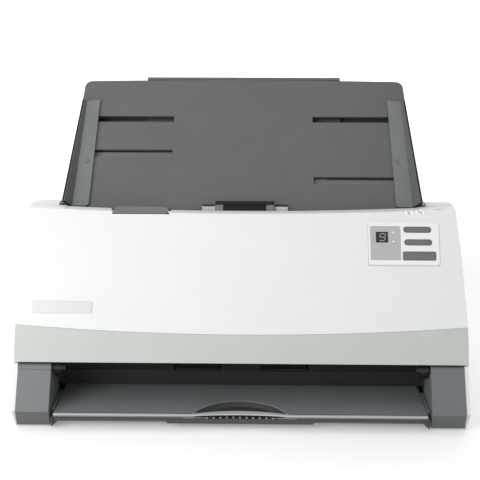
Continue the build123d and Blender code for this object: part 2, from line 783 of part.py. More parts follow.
def bushings():
    """Six flanged plain bearings."""
    rings = []
    for side in (-1, 1):
        for centre in (PICK_C, FEED_C, EXIT_ROLL_C):
            x_in = side * (CHASSIS_X - BUSH_LIP)
            x_face = side * CHASSIS_X
            x_out = side * (CHASSIS_X + CHASSIS_T)
            ring = rod_x(centre, BUSH_R, min(x_face, x_out), max(x_face, x_out))
            ring += rod_x(centre, BUSH_R + 1.2, min(x_in, x_face), max(x_in, x_face))
            ring -= rod_x(centre, SHAFT_R + RUN_FIT, min(x_in, x_out) - 1, max(x_in, x_out) + 1)
            rings.append(ring)
    return Compound(rings)


def rear_guide():
    """Rear wall of the paper path, with windows for the rollers and the rear sensor."""
    band = path_band(GUIDE_GAP, GUIDE_GAP + GUIDE_T, 39.0, 10.0)
    guide = along_x(band, -CHASSIS_X, CHASSIS_X)
    guide -= block(-BODY_HALF, BODY_HALF, FRONT_Y, REAR_Y, 0, on_run(GUIDE_SPLIT)[1])
    for side in (-1, 1):
        x0 = side * (GUIDE_HALF - 1.2)
        x1 = side * (CHASSIS_X + 1)
        guide -= block(min(x0, x1), max(x0, x1), FRONT_Y, REAR_Y, HOOK_CLEAR_Z, TOP_Z)
    guide -= rod_x(PICK_C, PICK_R + 0.8, PAD_X - PICK_W / 2 - 1, PAD_X + PICK_W / 2 + 1)
    for x in FEED_X:
        guide -= rod_x(FEED_C, FEED_R + 0.8, x - FEED_W / 2 - 1, x + FEED_W / 2 + 1)
    w = REAR_SENSOR_W
    guide -= run_box(-GLASS_HALF - 0.4, GLASS_HALF + 0.4, w - GLASS_H / 2 - 0.3, w + GLASS_H / 2 + 0.3,
                     -GUIDE_GAP - GUIDE_T - 1, 0)
    rib = polygon(on_run(4.0, GUIDE_GAP + GUIDE_T), on_run(4.0, GUIDE_GAP + GUIDE_T + 3),
                  on_run(20.0, GUIDE_GAP + GUIDE_T + 3), on_run(20.0, GUIDE_GAP + GUIDE_T))
    end_rib = GUIDE_HALF - 8.0
    for x in (-end_rib, -66.0, 0.0, 66.0, end_rib):
        guide += along_x(rib, x - 0.8, x + 0.8)
    return guide


def exit_guide():
    """Lower rear guide that turns the paper forward, with the back wall of the bay."""
    e0, e1 = GUIDE_GAP, GUIDE_GAP + GUIDE_T
    band = path_band(e0, e1, 20.0, EXIT_LEAN)
    guide = along_x(band, -CHASSIS_X, CHASSIS_X)
    guide -= block(-BODY_HALF, BODY_HALF, FRONT_Y, REAR_Y, on_run(GUIDE_SPLIT)[1], TOP_Z)
    tip = on_exit(EXIT_LEAN, e1)
    inner = on_exit(EXIT_LEAN - 6, e1)
    wall_z = TRAY_TOP + 0.5
    wall = polygon(tip, (BAY_WALL_Y, BAY_WALL_TOP), (BAY_WALL_Y, wall_z),
                   (BAY_WALL_Y + GUIDE_T, wall_z), (BAY_WALL_Y + GUIDE_T, BAY_WALL_TOP), inner)
    guide += along_x(wall, -CHASSIS_X, CHASSIS_X)
    for x in EXIT_X:
        x0, x1 = x - EXIT_W / 2 - 0.8, x + EXIT_W / 2 + 0.8
        guide -= block(x0, x1, FRONT_Y, EXIT_ROLL_C[0], BAY_WALL_TOP - 0.3, EXIT_ROLL_C[1] + 14)
        guide -= rod_x(EXIT_ROLL_C, EXIT_ROLL_R + 0.8, x0, x1)
    guide -= rod_x(EXIT_ROLL_C, SHAFT_R + 0.5, -CHASSIS_X - 1, CHASSIS_X + 1)
    for side in (-1, 1):
        x0, x1 = side * (CHASSIS_X - BUSH_LIP - 0.3), side * (CHASSIS_X + 1)
        guide -= rod_x(EXIT_ROLL_C, BUSH_R + 1.8, min(x0, x1), max(x0, x1))
    return guide


def sensor(w, side):
    """Contact image sensor bar; side is +1 in front of the path, -1 behind it."""
    n0 = side * (GUIDE_GAP + GUIDE_T)
    n1 = side * SENSOR_BACK
    bar = run_box(-SENSOR_HALF, SENSOR_HALF, w - SENSOR_H / 2, w + SENSOR_H / 2, min(n0, n1), max(n0, n1))
    n2 = side * (GUIDE_GAP + 0.8)
    bar += run_box(-GLASS_HALF, GLASS_HALF, w - GLASS_H / 2, w + GLASS_H / 2, min(n0, n2), max(n0, n2))
    groove_0, groove_1 = side * (SENSOR_BACK - 3), side * (SENSOR_BACK + 1)
    bar -= run_box(-SENSOR_HALF + 8, SENSOR_HALF - 8, w - 3, w + 3, min(groove_0, groove_1),
                   max(groove_0, groove_1))
    return bar


def sensor_glass(w, side):
    """Glass strip of a sensor, just below the face of its guide."""
    n0, n1 = side * (GUIDE_GAP - 0.1), side * (GUIDE_GAP + 0.8)
    return run_box(-GLASS_HALF, GLASS_HALF, w - GLASS_H / 2, w + GLASS_H / 2, min(n0, n1), max(n0, n1))


# Rollers and gears

def shaft(centre):
    """Steel shaft from the gear side to the far bearing, with a flat for the gear."""
    return rod_x(centre, SHAFT_R, -SHAFT_END, CHASSIS_X + CHASSIS_T + 0.8)


def tyres(centre, radius, width, places):
    """Rubber tyres pushed on a shaft."""
    rings = []
    for x in places:
        ring = rod_x(centre, radius, x - width / 2, x + width / 2)
        ring = chamfer(ring.edges().filter_by(GeomType.CIRCLE), 0.6)
        rings.append(ring - rod_x(centre, SHAFT_R, x - width, x + width))
    return Compound(rings) if len(rings) > 1 else rings[0]


def gear_studs():
    """Two fixed studs on the left plate for the idler gears."""
    studs = []
    for centre in (UPPER_C, LARGE_C):
        stud = rod_x(centre, SHAFT_R, -GEAR_X - GEAR_W - 0.8, -CHASSIS_X - CHASSIS_T)
        studs += [stud, rod_x(centre, SHAFT_R + 1.5, -GEAR_X + 0.4, -CHASSIS_X - CHASSIS_T)]
    return studs


def drive_motor():
    """Stepper motor can on the inside of the left plate."""
    can = rod_x(MOTOR_C, MOTOR_R, -CHASSIS_X + 1.5, -CHASSIS_X + 1.5 + MOTOR_L)
    can = fillet(can.edges().filter_by(GeomType.CIRCLE).sort_by(Axis.X)[-1], 1.5)
    flange = rod_x(MOTOR_C, MOTOR_R + 1, -CHASSIS_X, -CHASSIS_X + 1.5)
    flange += Pos(-CHASSIS_X + 0.75, MOTOR_C[0], MOTOR_C[1]) * Box(1.5, 2 * MOTOR_R + 14, 10)
    return can + flange


def idler_rollers(centre, radius, width, places):
    """Plain idler wheels on their pin, one piece."""
    pin = rod_x(centre, IDLER_SHAFT_R, -IDLER_END, IDLER_END)
    for x in places:
        pin += rod_x(centre, radius, x - width / 2, x + width / 2)
    return pin


# Cover

def cover_body():
    """The cover's outer block before it is hollowed."""
    reach = BODY_HALF + 2
    body = along_x(front_band(0, -COVER_DEPTH, -12, 125), -reach, reach)
    body &= along_y(body_outline(), FRONT_Y - 5, REAR_Y)
    body &= along_y(smile(COVER_TOP_END, COVER_TOP_MID, COVER_BOTTOM), FRONT_Y - 5, REAR_Y)
    return body


def cover_band():
    """Grey band along the foot of the cover, set in a shallow rebate."""
    reach = BODY_HALF + 2
    skin = along_x(front_band(1, -BAND_T, -12, 60), -reach, reach)
    band = skin & cover_body() & along_y(smile(BAND_END, BAND_MID, 30), FRONT_Y - 5, REAR_Y)
    return Compound([*band.solids(), *lip_strip().solids()])


def lip_strip():
    """Grey strip along the mouth, behind the cover's edge and a little above it, open at the lever."""
    strip = along_x(front_band(-WALL, -WALL - LIP_T, LIP_LOW_S, 125), -GUIDE_HALF, GUIDE_HALF)
    strip &= along_y(smile(COVER_TOP_END + LIP_RISE, COVER_TOP_MID + LIP_RISE, LIP_FOOT_Z), FRONT_Y, REAR_Y)
    gap = LEVER_W / 2 + 1.2
    return strip - block(LEVER_X - gap, LEVER_X + gap, FRONT_Y, REAR_Y, COVER_BOTTOM, TOP_Z)


def cover_shell():
    """White front cover: thin walls, closed ends, holes for the buttons and posts for their board."""
    reach = BODY_HALF + 2
    shell = cover_body()
    room = along_x(front_band(-WALL, -COVER_DEPTH - 3, -20, 140), -reach, reach)
    level = block(-reach, reach, FRONT_Y - 5, REAR_Y, COVER_BOTTOM + WALL, COVER_TOP_END - WALL)
    shell -= room & level & along_y(body_outline(WALL), FRONT_Y - 5, REAR_Y)
    half = GUIDE_HALF + 0.4
    shell -= room & block(-half, half, FRONT_Y - 5, REAR_Y, COVER_BOTTOM + WALL, TOP_Z)
    rebate = along_x(front_band(1, -BAND_T, -12, 60), -reach, reach)
    shell -= rebate & along_y(smile(BAND_END + 0.15, BAND_MID + 0.15, 30), FRONT_Y - 5, REAR_Y)
    for place in BUTTONS:
        shell -= button_prism(place, 0.3, -WALL - 1, 2)
    for dx, ds in ((-21.0, -11.0), (-21.0, 11.0), (17.0, 5.8)):
        post = Pos(dx, ds, BOARD_TOP) * Cylinder(
            1.3, -BOARD_TOP - WALL + 0.3, align=(Align.CENTER, Align.CENTER, Align.MIN))
        shell += front_plane(PANEL_X, PANEL_S) * post
    low_s = s_at(LEVER_Z, 0)
    shell -= along_x(front_band(1, -WALL - 1, low_s - 0.5, 130), LEVER_X - LEVER_W / 2 - 0.5,
                     LEVER_X + LEVER_W / 2 + 0.5)
    return shell


def on_front(x, s, width, height, corner, low, high):
    """A prism with a rounded outline, square to the cover's front at one place."""
    outline = RectangleRounded(width, height, corner)
    return front_plane(x, s) * extrude(Pos(0, 0, low) * outline, high - low)


def skin_piece(outline_prism, low, high):
    """The part of a prism that lies between two offsets of the front surface."""
    return outline_prism & along_x(front_band(low, high, 20, 118), -BODY_HALF, BODY_HALF)


def button_prism(place, gap, low, high):
    """Outline of a button with a gap round it."""
    x, s, width, height, corner = place
    return on_front(x, s, width + 2 * gap, height + 2 * gap, corner + gap, low, high)


def button(place):
    """A key cap with a hidden retaining flange and a soft top edge."""
    cap = button_prism(place, 0, -2.7, BUTTON_RAISE)
    cap = chamfer(cap.faces().sort_by(Axis((0, 0, 0), (0, *front_normal(place[1]))))[-1].edges(), 0.35)
    return cap + button_prism(place, 0.8, -3.3, -2.7)


def panel_bezel():
    """Raised white surround of the control panel."""
    bezel = skin_piece(on_front(PANEL_X, PANEL_S, PANEL_W, PANEL_H, 1.2, -3, 3), 0, PANEL_RAISE)
    bezel -= on_front(PANEL_X + LABEL_DX, LABEL_S, LABEL_W + 0.2, LABEL_H + 0.2, 0.4, -3, 3)
    for place in BUTTONS:
        bezel -= button_prism(place, 0.3, -3, 3)
    return bezel


def panel_label():
    """Grey plate in the surround, with openings for the display and two lights."""
    plate = skin_piece(on_front(PANEL_X + LABEL_DX, LABEL_S, LABEL_W, LABEL_H, 0.3, -3, 3), 0, 0.6)
    plate -= on_front(PANEL_X + DISPLAY_DX, DISPLAY_S, DISPLAY_W, DISPLAY_H, 0.2, -3, 3)
    for s in LIGHT_S:
        plate -= front_plane(PANEL_X + LIGHT_DX, s) * Cylinder(0.8, 4)
    return plate


def display_window():
    """Black window of the one-digit display."""
    return skin_piece(on_front(PANEL_X + DISPLAY_DX, DISPLAY_S, DISPLAY_W, DISPLAY_H, 0.2, -3, 3), 0, 0.65)


def panel_board():
    """Small board behind the panel with three key switches."""
    plane = front_plane(PANEL_X, PANEL_S, BOARD_TOP - BOARD_T / 2)
    board = plane * Box(47, 25.6, BOARD_T)
    board -= block(GUIDE_HALF + 0.8, BODY_HALF, FRONT_Y, REAR_Y, 0, LATCH_C[1] + 5.0)
    for x, s, width, height, corner in BUTTONS:
        board += front_plane(x, s, BOARD_TOP + 0.2) * Box(5, 3.6, 1.0)
    return board


def name_plate():
    """Bare light plate at the lower left of the cover."""
    return skin_piece(on_front(NAME_X, NAME_S, NAME_W, NAME_H, 0.8, -3, 3), 0, 0.4)


def cover_frame():
    """Dark inner frame of the cover: front paper guide, mouth lip, end walls and bottom strip."""
    half = GUIDE_HALF
    front_e = -GUIDE_GAP
    back_e = -GUIDE_GAP - GUIDE_T
    lip_low = front_point(LIP_LOW_S, -WALL)
    lip_front = front_point(s_at(LIP_TOP, -WALL), -WALL)
    lip_back = front_point(s_at(LIP_TOP - 0.5, LIP_BACK), LIP_BACK)
    throat = on_bend(37.0, front_e)
    wedge = polygon(lip_low, lip_front, lip_back, throat, on_bend(35.0, back_e))
    frame = along_x(wedge, -half, half)
    strip_back = -WALL - LIP_T - 0.05
    frame -= along_x(front_band(-WALL + 0.5, strip_back, 100, 125), -half, half) & block(
        -half, half, FRONT_Y, REAR_Y, LIP_FOOT_Z, TOP_Z)
    frame -= along_x(front_band(-WALL + 0.5, -6.9, 80, 125), LEVER_X - LEVER_W / 2 - 1.2,
                     LEVER_X + LEVER_W / 2 + 1.2)
    flap_cut = front_band(PAD_FRONT - 0.4, -14, s_at(FLAP_FOOT_Z, PAD_FRONT - 0.4), 125)
    frame -= along_x(flap_cut, PAD_X - FLAP_OUT - 0.6, PAD_X + FLAP_OUT + 0.6)
    band = path_band(front_e, back_e, 36.0, 18.0)
    frame += along_x(band, -half, half)
    floor_front = front_point(s_at(COVER_BOTTOM + WALL, -COVER_DEPTH), -COVER_DEPTH)
    low = on_exit(18.0, back_e)
    floor_z = COVER_BOTTOM + WALL
    strip = polygon(low, on_exit(18.0, front_e), (low[0] - 3.0, low[1] - 2.4),
                    (floor_front[0] + 0.4, COVER_BOTTOM), (floor_front[0] + 0.1, floor_z),
                    (floor_front[0] - 0.8, floor_z), (floor_front[0] - 0.8, floor_z + 0.8),
                    (low[0] - 4.0, low[1]))
    frame += along_x(strip, -half, half)
    shelf = front_band(-WALL, -COVER_DEPTH - 0.5, s_at(COVER_BOTTOM + WALL, -WALL) + 0.1, 8.0)
    shelf_low = block(-half, half, FRONT_Y, floor_front[0] + 0.2, COVER_BOTTOM + WALL, COVER_BOTTOM + WALL + 1.6)
    frame += shelf_low & along_x(shelf, -half, half)
    for side in (-1, 1):
        x0, x1 = side * (half - END_WALL_T), side * half
        frame += along_x(end_wall_face(), min(x0, x1), max(x0, x1))
    return frame_windows(frame)


def end_wall_face():
    """Side-view outline of the frame's end walls, from the cover's skin to the guide."""
    e = -GUIDE_GAP
    low_s = s_at(COVER_BOTTOM + WALL + 0.2, -WALL)
    return make_face([
        front_arc(-WALL, low_s, LIP_LOW_S),
        Line(front_point(LIP_LOW_S, -WALL), on_bend(35.0, e)),
        *path_edges(e, 35.0, EXIT_LEAN - 12),
        Line(on_exit(EXIT_LEAN - 12, e), (EXIT_IDLER_C[0] - 5.0, EXIT_IDLER_C[1] - 3.4)),
        Line((EXIT_IDLER_C[0] - 5.0, EXIT_IDLER_C[1] - 3.4), (HINGE[0] + 8.8, COVER_BOTTOM + WALL)),
        Line((HINGE[0] + 8.8, COVER_BOTTOM + WALL), front_point(low_s, -WALL)),
    ])


def frame_windows(frame):
    """Cut the frame for the pad, idlers, sensor, latch shaft and panel board."""
    front = -WALL - LIP_T - 0.05
    frame -= along_x(front_band(front, -40, 84, 125), PAD_X - PAD_CUT, PAD_X + PAD_CUT) & block(
        -BODY_HALF, BODY_HALF, FRONT_Y, REAR_Y, on_bend(17.0)[1], TOP_Z)
    for x in FEED_X:
        frame -= rod_x(FEED_IDLER_C, IDLER_R + 0.6, x - IDLER_W / 2 - 0.8, x + IDLER_W / 2 + 0.8)
    w = FRONT_SENSOR_W
    frame -= run_box(-GLASS_HALF - 0.4, GLASS_HALF + 0.4, w - GLASS_H / 2 - 0.3, w + GLASS_H / 2 + 0.3,
                     0, GUIDE_GAP + GUIDE_T + 0.1)
    for centre in (FEED_IDLER_C, EXIT_IDLER_C):
        frame -= rod_x(centre, IDLER_SHAFT_R + RUN_FIT, -IDLER_END - 3, IDLER_END + 3)
    for x in EXIT_X:
        frame -= rod_x(EXIT_IDLER_C, EXIT_IDLER_R + 0.6, x - IDLER_W / 2 - 0.8, x + IDLER_W / 2 + 0.8)
    frame -= rod_x(LATCH_C, LATCH_R + RUN_FIT, -GUIDE_HALF - 1, GUIDE_HALF + 1)
    frame -= on_front(PANEL_X, PANEL_S, 53, 28.4, 1.0, -6.6, 0)
    return frame + rod_x(PAD_PIVOT, PAD_PIN_R, PAD_X - PAD_CUT - 2.0, PAD_X + PAD_CUT + 2.0)


def hook_tip():
    """Centre of the striker that a cover hook reaches over."""
    dy, dz = LATCH_C[0] - HINGE[0], LATCH_C[1] - HINGE[1]
    reach = math.hypot(dy, dz)
    return (LATCH_C[0] + LATCH_REACH * dz / reach, LATCH_C[1] - LATCH_REACH * dy / reach)


STRIKER_C = hook_tip()


def latch_shaft():
    """Shaft across the cover with a hook at each end."""
    rod = rod_x(LATCH_C, LATCH_R, -LATCH_OUT, LATCH_OUT)
    u = ((STRIKER_C[0] - LATCH_C[0]) / LATCH_REACH, (STRIKER_C[1] - LATCH_C[1]) / LATCH_REACH)
    v = (-u[1], u[0])

    def place(a, b):
        return (LATCH_C[0] + a * u[0] + b * v[0], LATCH_C[1] + a * u[1] + b * v[1])

    gap = STRIKER_R + 0.4
    end = LATCH_REACH + STRIKER_R
    hook = polygon(place(-2.6, -2.4), place(LATCH_REACH - 7.6, -2.2), place(LATCH_REACH - 3.5, gap),
                   place(end, gap), place(end + 0.7, gap - 0.3), place(end + 1.9, gap + 0.2),
                   place(end + 1.1, gap + 3.0), place(LATCH_REACH - 7.6, 3.0), place(-1.9, 1.9))
    for side in (-1, 1):
        x0, x1 = side * (GUIDE_HALF + 1.4), side * LATCH_OUT
        rod += along_x(hook, min(x0, x1), max(x0, x1))
    return rod


def release_lever():
    """Dark paddle above the mouth lip with its stem down to the latch shaft."""
    low_s = s_at(LEVER_Z, 0)
    high_s = s_at(LEVER_TOP, 0)
    paddle = along_x(front_band(-0.3, -6.4, low_s, high_s), LEVER_X - LEVER_W / 2, LEVER_X + LEVER_W / 2)
    left, right = LEVER_X - LEVER_W / 2, LEVER_X + LEVER_W / 2
    trim = polygon((left, LEVER_Z - 6), (left, LEVER_Z + 1.6), (left + 3.4, LEVER_TOP + 0.3),
                   (right - 1.6, LEVER_TOP - 0.7), (right, LEVER_TOP - 1.9), (right, LEVER_Z + 0.8),
                   (right - 3.0, LEVER_Z - 0.6), (right - 3.0, LEVER_Z - 6))
    paddle &= along_y(trim, FRONT_Y, REAR_Y)
    stem_s = s_at(LATCH_C[1] + 4.5, -4.8)
    stem = along_x(front_band(-4.8, -6.4, stem_s, low_s + 0.2), LEVER_X - 11, LEVER_X + 11)
    root = front_point(stem_s, -4.8)
    back = front_point(stem_s, -6.4)
    crank = polygon(root, back, (LATCH_C[0] + 2.2, LATCH_C[1] + 0.9), (LATCH_C[0] - 1.2, LATCH_C[1] + 2.0))
    collar = rod_x(LATCH_C, COLLAR_R, LEVER_X - 11, LEVER_X + 11)
    lever = paddle + stem + along_x(crank, LEVER_X - 11, LEVER_X + 11) + collar
    return lever - rod_x(LATCH_C, LATCH_R, LEVER_X - 20, LEVER_X + 20)


def hinge_arm():
    """Curved arm, right side, from the cover's frame to its pivot pin in the front block."""
    x0, x1 = ARM_IN, ARM_IN + ARM_T
    outline = polygon(
        (HINGE[0] - 1.2, HINGE[1] - 2.4), (HINGE[0] + 3.4, HINGE[1] - 8.2), (HINGE[0] + 10.0, HINGE[1] - 9.6),
        (HINGE[0] + 20.0, HINGE[1] + 2.0), (HINGE[0] + 24.0, HINGE[1] + 16.0), (HINGE[0] + 14.0, HINGE[1] + 16.0),
        (HINGE[0] + 11.0, HINGE[1] + 4.0), (HINGE[0] + 4.0, HINGE[1] - 1.0), (HINGE[0] + 1.4, HINGE[1] + 2.4))
    outline = fillet(outline.vertices().filter_by(lambda v: v.X > HINGE[0] + 3), 1.6)
    arm = along_x(outline, x0, x1) + rod_x(HINGE, 2.4, x0, x1)
    arm += rod_x(HINGE, 2.0, PIN_IN, x0 + 1)
    return arm + rod_x(HINGE, PIN_R, x1 - 1, BLOCK_OUT - 3.0)


# Separation pad

def mouth_point(z, off):
    """Side-view point at the height z, off millimetres outward of the cover's front."""
    return front_point(s_at(z, off), off)


HOLDER_TOP = mouth_point(CAP_Z, PAD_FRONT - CLIP_T)
HOLDER_LOW = mouth_point(LIP_FOOT_Z - 0.4, PAD_FRONT - CLIP_T)


def holder_front(z):
    """Y of the holder's leaning front face at the height z."""
    share = (z - HOLDER_LOW[1]) / (HOLDER_TOP[1] - HOLDER_LOW[1])
    return HOLDER_LOW[0] + share * (HOLDER_TOP[0] - HOLDER_LOW[0])


def pad_holder():
    """Black holder at the middle of the mouth, with a cap along its top."""
    e = -NIP - 1.3
    cap_low = mouth_point(CAP_Z, PAD_FRONT)
    cap_high = mouth_point(PAD_TOP - 0.5, PAD_FRONT)
    back_y = cap_high[0] + 5.0
    outline = make_face([
        ThreePointArc(on_bend(22.0, e), on_bend(29.0, e), on_bend(36.0, e)),
        Line(on_bend(36.0, e), (back_y, PAD_TOP - 0.8)),
        Line((back_y, PAD_TOP - 0.8), (back_y - 0.8, PAD_TOP)),
        Line((back_y - 0.8, PAD_TOP), (cap_high[0] + 0.5, PAD_TOP)),
        Line((cap_high[0] + 0.5, PAD_TOP), cap_high),
        Line(cap_high, cap_low),
        Line(cap_low, HOLDER_TOP),
        Line(HOLDER_TOP, HOLDER_LOW),
        Line(HOLDER_LOW, on_bend(30.0, e - 3.6)),
        Line(on_bend(30.0, e - 3.6), on_bend(22.0, e - 2.6)),
        Line(on_bend(22.0, e - 2.6), on_bend(22.0, e)),
    ])
    holder = along_x(outline, PAD_X - PAD_HALF, PAD_X + PAD_HALF)
    return holder - rod_x(PAD_PIVOT, PAD_PIN_R + RUN_FIT, PAD_X - PAD_HALF - 1, PAD_X + PAD_HALF + 1)


def pad_rubber():
    """Friction pad that faces the pick roller."""
    e0, e1 = -NIP, -NIP - 1.3
    face = make_face([
        ThreePointArc(on_bend(24.0, e0), on_bend(29.0, e0), on_bend(34.0, e0)),
        ThreePointArc(on_bend(24.0, e1), on_bend(29.0, e1), on_bend(34.0, e1)),
        Line(on_bend(24.0, e0), on_bend(24.0, e1)),
        Line(on_bend(34.0, e0), on_bend(34.0, e1)),
    ])
    return along_x(face, PAD_X - PICK_W / 2 + 1, PAD_X + PICK_W / 2 - 1)


def pad_clips():
    """Two grey clips on the front of the holder, under its cap."""
    low_z = LIP_FOOT_Z + 1.0
    low_y = holder_front(low_z)
    cap_low = mouth_point(CAP_Z, PAD_FRONT)
    outline = polygon(HOLDER_TOP, cap_low, (low_y + cap_low[0] - HOLDER_TOP[0], low_z), (low_y, low_z))
    out = PAD_HALF - 0.3
    return Compound([along_x(outline, PAD_X - out, PAD_X - out + CLIP_W),
                     along_x(outline, PAD_X + out - CLIP_W, PAD_X + out)])


def pad_flaps():
    """Two thin pale films beside the holder."""
    high = mouth_point(FLAP_TOP_Z, PAD_FRONT - 2.2)
    low = mouth_point(FLAP_FOOT_Z + 0.5, PAD_FRONT - 2.8)
    outline = polygon(high, (high[0] + 0.6, high[1]), (low[0] + 0.6, low[1]), low)
    return Compound([along_x(outline, PAD_X - FLAP_OUT, PAD_X - PAD_HALF),
                     along_x(outline, PAD_X + PAD_HALF, PAD_X + FLAP_OUT)])


# Input chute

def chute_outline(inset=0.0):
    """Outline of the chute on its face: wider at the foot, rounded at the top."""
    low, high = CHUTE_BOTTOM_HALF - inset, CHUTE_TOP_HALF - inset
    top = CHUTE_LEN - inset
    bottom = inset
    shoulder = top - CHUTE_CORNER
    edge = high - CHUTE_CORNER
    inner = CHUTE_CORNER * (1 - math.sqrt(0.5))
    bend = (high - inner + 0.1, top - inner)
    return make_face([
        Line((-low, bottom), (low, bottom)),
        Line((low, bottom), (low, 8)),
        Line((low, 8), (high, shoulder)),
        ThreePointArc((high, shoulder), bend, (edge, top)),
        ThreePointArc((edge, top), (0, top + 1.2), (-edge, top)),
        ThreePointArc((-edge, top), (-bend[0], bend[1]), (-high, shoulder)),
        Line((-high, shoulder), (-low, 8)),
        Line((-low, 8), (-low, bottom)),
    ])


def rack_t(side):
    """Middle of a guide's rack bar along t: the left one runs above the pinion."""
    return PINION_T_POS - side * (PINION_TEETH * RACK_M / 2 + RACK_M + RACK_T / 2)


def chute_panel():
    """Front panel of the chute with its skirt, guide slots and pinion boss."""
    panel = chute_prism(chute_outline(), -CHUTE_T, 0)
    skirt = chute_outline() - chute_outline(2.2)
    panel += chute_prism(skirt, -CHUTE_THICK + BACK_T, -CHUTE_T)
    panel -= chute_box(-BODY_HALF, BODY_HALF, -5, 3, -12, -CHUTE_T)
    panel += chute_box(-GUIDE_HALF + 2, GUIDE_HALF - 2, -2.5, 0.5, -CHUTE_T, 0)
    for side in (-1, 1):
        near = side * (STEM_X - STEM_W / 2 - FENCE_TRAVEL - SLOT_GAP)
        far = side * (STEM_X + STEM_W / 2 + SLOT_GAP)
        for t, half in ((rack_t(side), RACK_T / 2 + SLOT_GAP), (PEG_T_POS, 2.0 + SLOT_GAP)):
            panel -= chute_box(min(near, far), max(near, far), t - half, t + half, -CHUTE_T - 1, 1)
    boss = Pos(0, PINION_T_POS, -5.6) * Cylinder(PIVOT_R, 3.4, align=(Align.CENTER, Align.CENTER, Align.MIN))
    panel += CHUTE_PLANE * boss
    gate = EXT_HALF + 0.5
    panel -= chute_box(-gate, gate, CHUTE_LEN - 6, CHUTE_LEN + 4, EXT_N[0] - 0.5, EXT_N[1] + 0.5)
    for x in (-EXT_HALF - 3.4, EXT_HALF + 1.0):
        panel += chute_box(x, x + 2.4, PEG_T_POS + 6, CHUTE_LEN - 2, -CHUTE_THICK + BACK_T, -CHUTE_T)
    return panel


def chute_back():
    """Back plate of the chute with shallow stiffening grooves."""
    back = chute_prism(chute_outline(), -CHUTE_THICK, -CHUTE_THICK + BACK_T)
    back -= chute_box(-BODY_HALF, BODY_HALF, -5, 3, -12, 0)
    back = chamfer(back.faces().sort_by(Axis((0, 0, 0), tuple(CHUTE_PLANE.z_dir)))[0].edges(), 0.6)
    for k in range(GROOVE_COUNT):
        face = SlotOverall(2 * EXT_HALF, GROOVE_W)
        groove = Pos(0, GROOVE_T + GROOVE_PITCH * k, -CHUTE_THICK) * extrude(face, 0.7)
        back -= CHUTE_PLANE * groove
    return back


def chute_lug():
    """Black plug at a lower corner of the chute, right side."""
    lug = chute_box(LUG_X - LUG_W, LUG_X, -10.5, 3.6, -8.6, -2.4 - 0.2)
    lug += chute_box(LUG_X - LUG_W + 1.6, LUG_X, 3.0, 4.8, -8.6, -0.6)
    return lug - chute_prism(chute_outline(), -CHUTE_THICK, 0)


def chute_socket():
    """Pocket on a chassis plate that takes a lug, right side."""
    gap = 0.3
    x0, x1 = LUG_X - LUG_W - gap, LUG_X + gap
    socket = chute_box(x0 - 1.4, CHASSIS_X, -11.6, -2.0, -9.9, -0.9)
    socket -= block(SIDE_IN - 0.1, CHASSIS_X + 1, FRONT_Y, REAR_Y, 131.5, TOP_Z)
    return socket - chute_box(x0, x1, -10.5 - gap, 0, -8.6 - gap, -2.6 + gap)


def chute_extension():
    """Pull-out paper support stowed in the chute, with a grip bar along its top."""
    t0, t1 = EXT_T
    plate = chute_box(-EXT_HALF, EXT_HALF, t0, t1, EXT_N[0], EXT_N[1])
    bar = chute_box(-EXT_HALF, EXT_HALF, t1 - 0.6, t1 + 2.4, -9.4, -0.6)
    bar = fillet(bar.edges().filter_by(Axis.X), 1.0)
    return plate + bar


def fence_section(base, top, height, t):
    """Cross-section of a guide's fence at t up the chute."""
    origin = CHUTE_PLANE.from_local_coords(Vector(0, t, 0))
    plane = Plane(origin=origin, x_dir=(1, 0, 0), z_dir=CHUTE_PLANE.y_dir)
    low = -(FLANGE_LIFT + FLANGE_T - 0.4)
    return plane * polygon((base, low), (top, -height), (top + 1.4, -height), (base + 2.5, low))


def paper_guide(side):
    """Sliding paper guide: flat flange, leaning tapered fence, stem, peg and rack."""
    x_in = FENCE_IN - FLANGE_W
    flange = make_face(Polyline(
        (x_in, 1.0), (x_in + 1.5, -0.5), (FENCE_IN + 2.4, -0.5), (FENCE_TOP_IN + 2.4, FENCE_LEN),
        (x_in - 1.8, FENCE_LEN + 1.5), close=True))
    guide = chute_prism(flange, FLANGE_LIFT, FLANGE_LIFT + FLANGE_T)
    fence = loft([fence_section(FENCE_IN, FENCE_IN + 4.6, FENCE_H, -0.5),
                  fence_section(FENCE_TOP_IN, FENCE_TOP_IN + 1.4, FENCE_TOP_H, FENCE_LEN)])
    guide += fence
    chevron_x = x_in + 1.7
    for turn in (-38, 38):
        mark = Pos(chevron_x, 37.6, FLANGE_LIFT + FLANGE_T) * Rot(0, 0, turn) * Pos(2.0, 0, 0) * Box(4.4, 0.7, 0.8)
        guide -= CHUTE_PLANE * mark
    t_mid = rack_t(1)
    n_low, n_high = -5.3, -3.0
    guide += chute_box(STEM_X - STEM_W / 2, STEM_X + STEM_W / 2, t_mid - RACK_T / 2, t_mid + RACK_T / 2,
                       n_low, FLANGE_LIFT)
    guide += chute_box(STEM_X - STEM_W / 2, STEM_X + STEM_W / 2, PEG_T_POS - 2, PEG_T_POS + 2, n_low, FLANGE_LIFT)
    guide += chute_box(STEM_X - STEM_W / 2 - 2, STEM_X + STEM_W / 2 - 4, PEG_T_POS - 4, PEG_T_POS + 4,
                       n_low, n_high)
    guide += chute_box(-8.0, STEM_X, t_mid - RACK_T / 2, t_mid + RACK_T / 2, n_low, n_high)
    guide += rack_teeth(t_mid + RACK_T / 2, n_low, n_high)
    if side > 0:
        return guide
    return flip_rack(guide, t_mid, n_low, n_high)


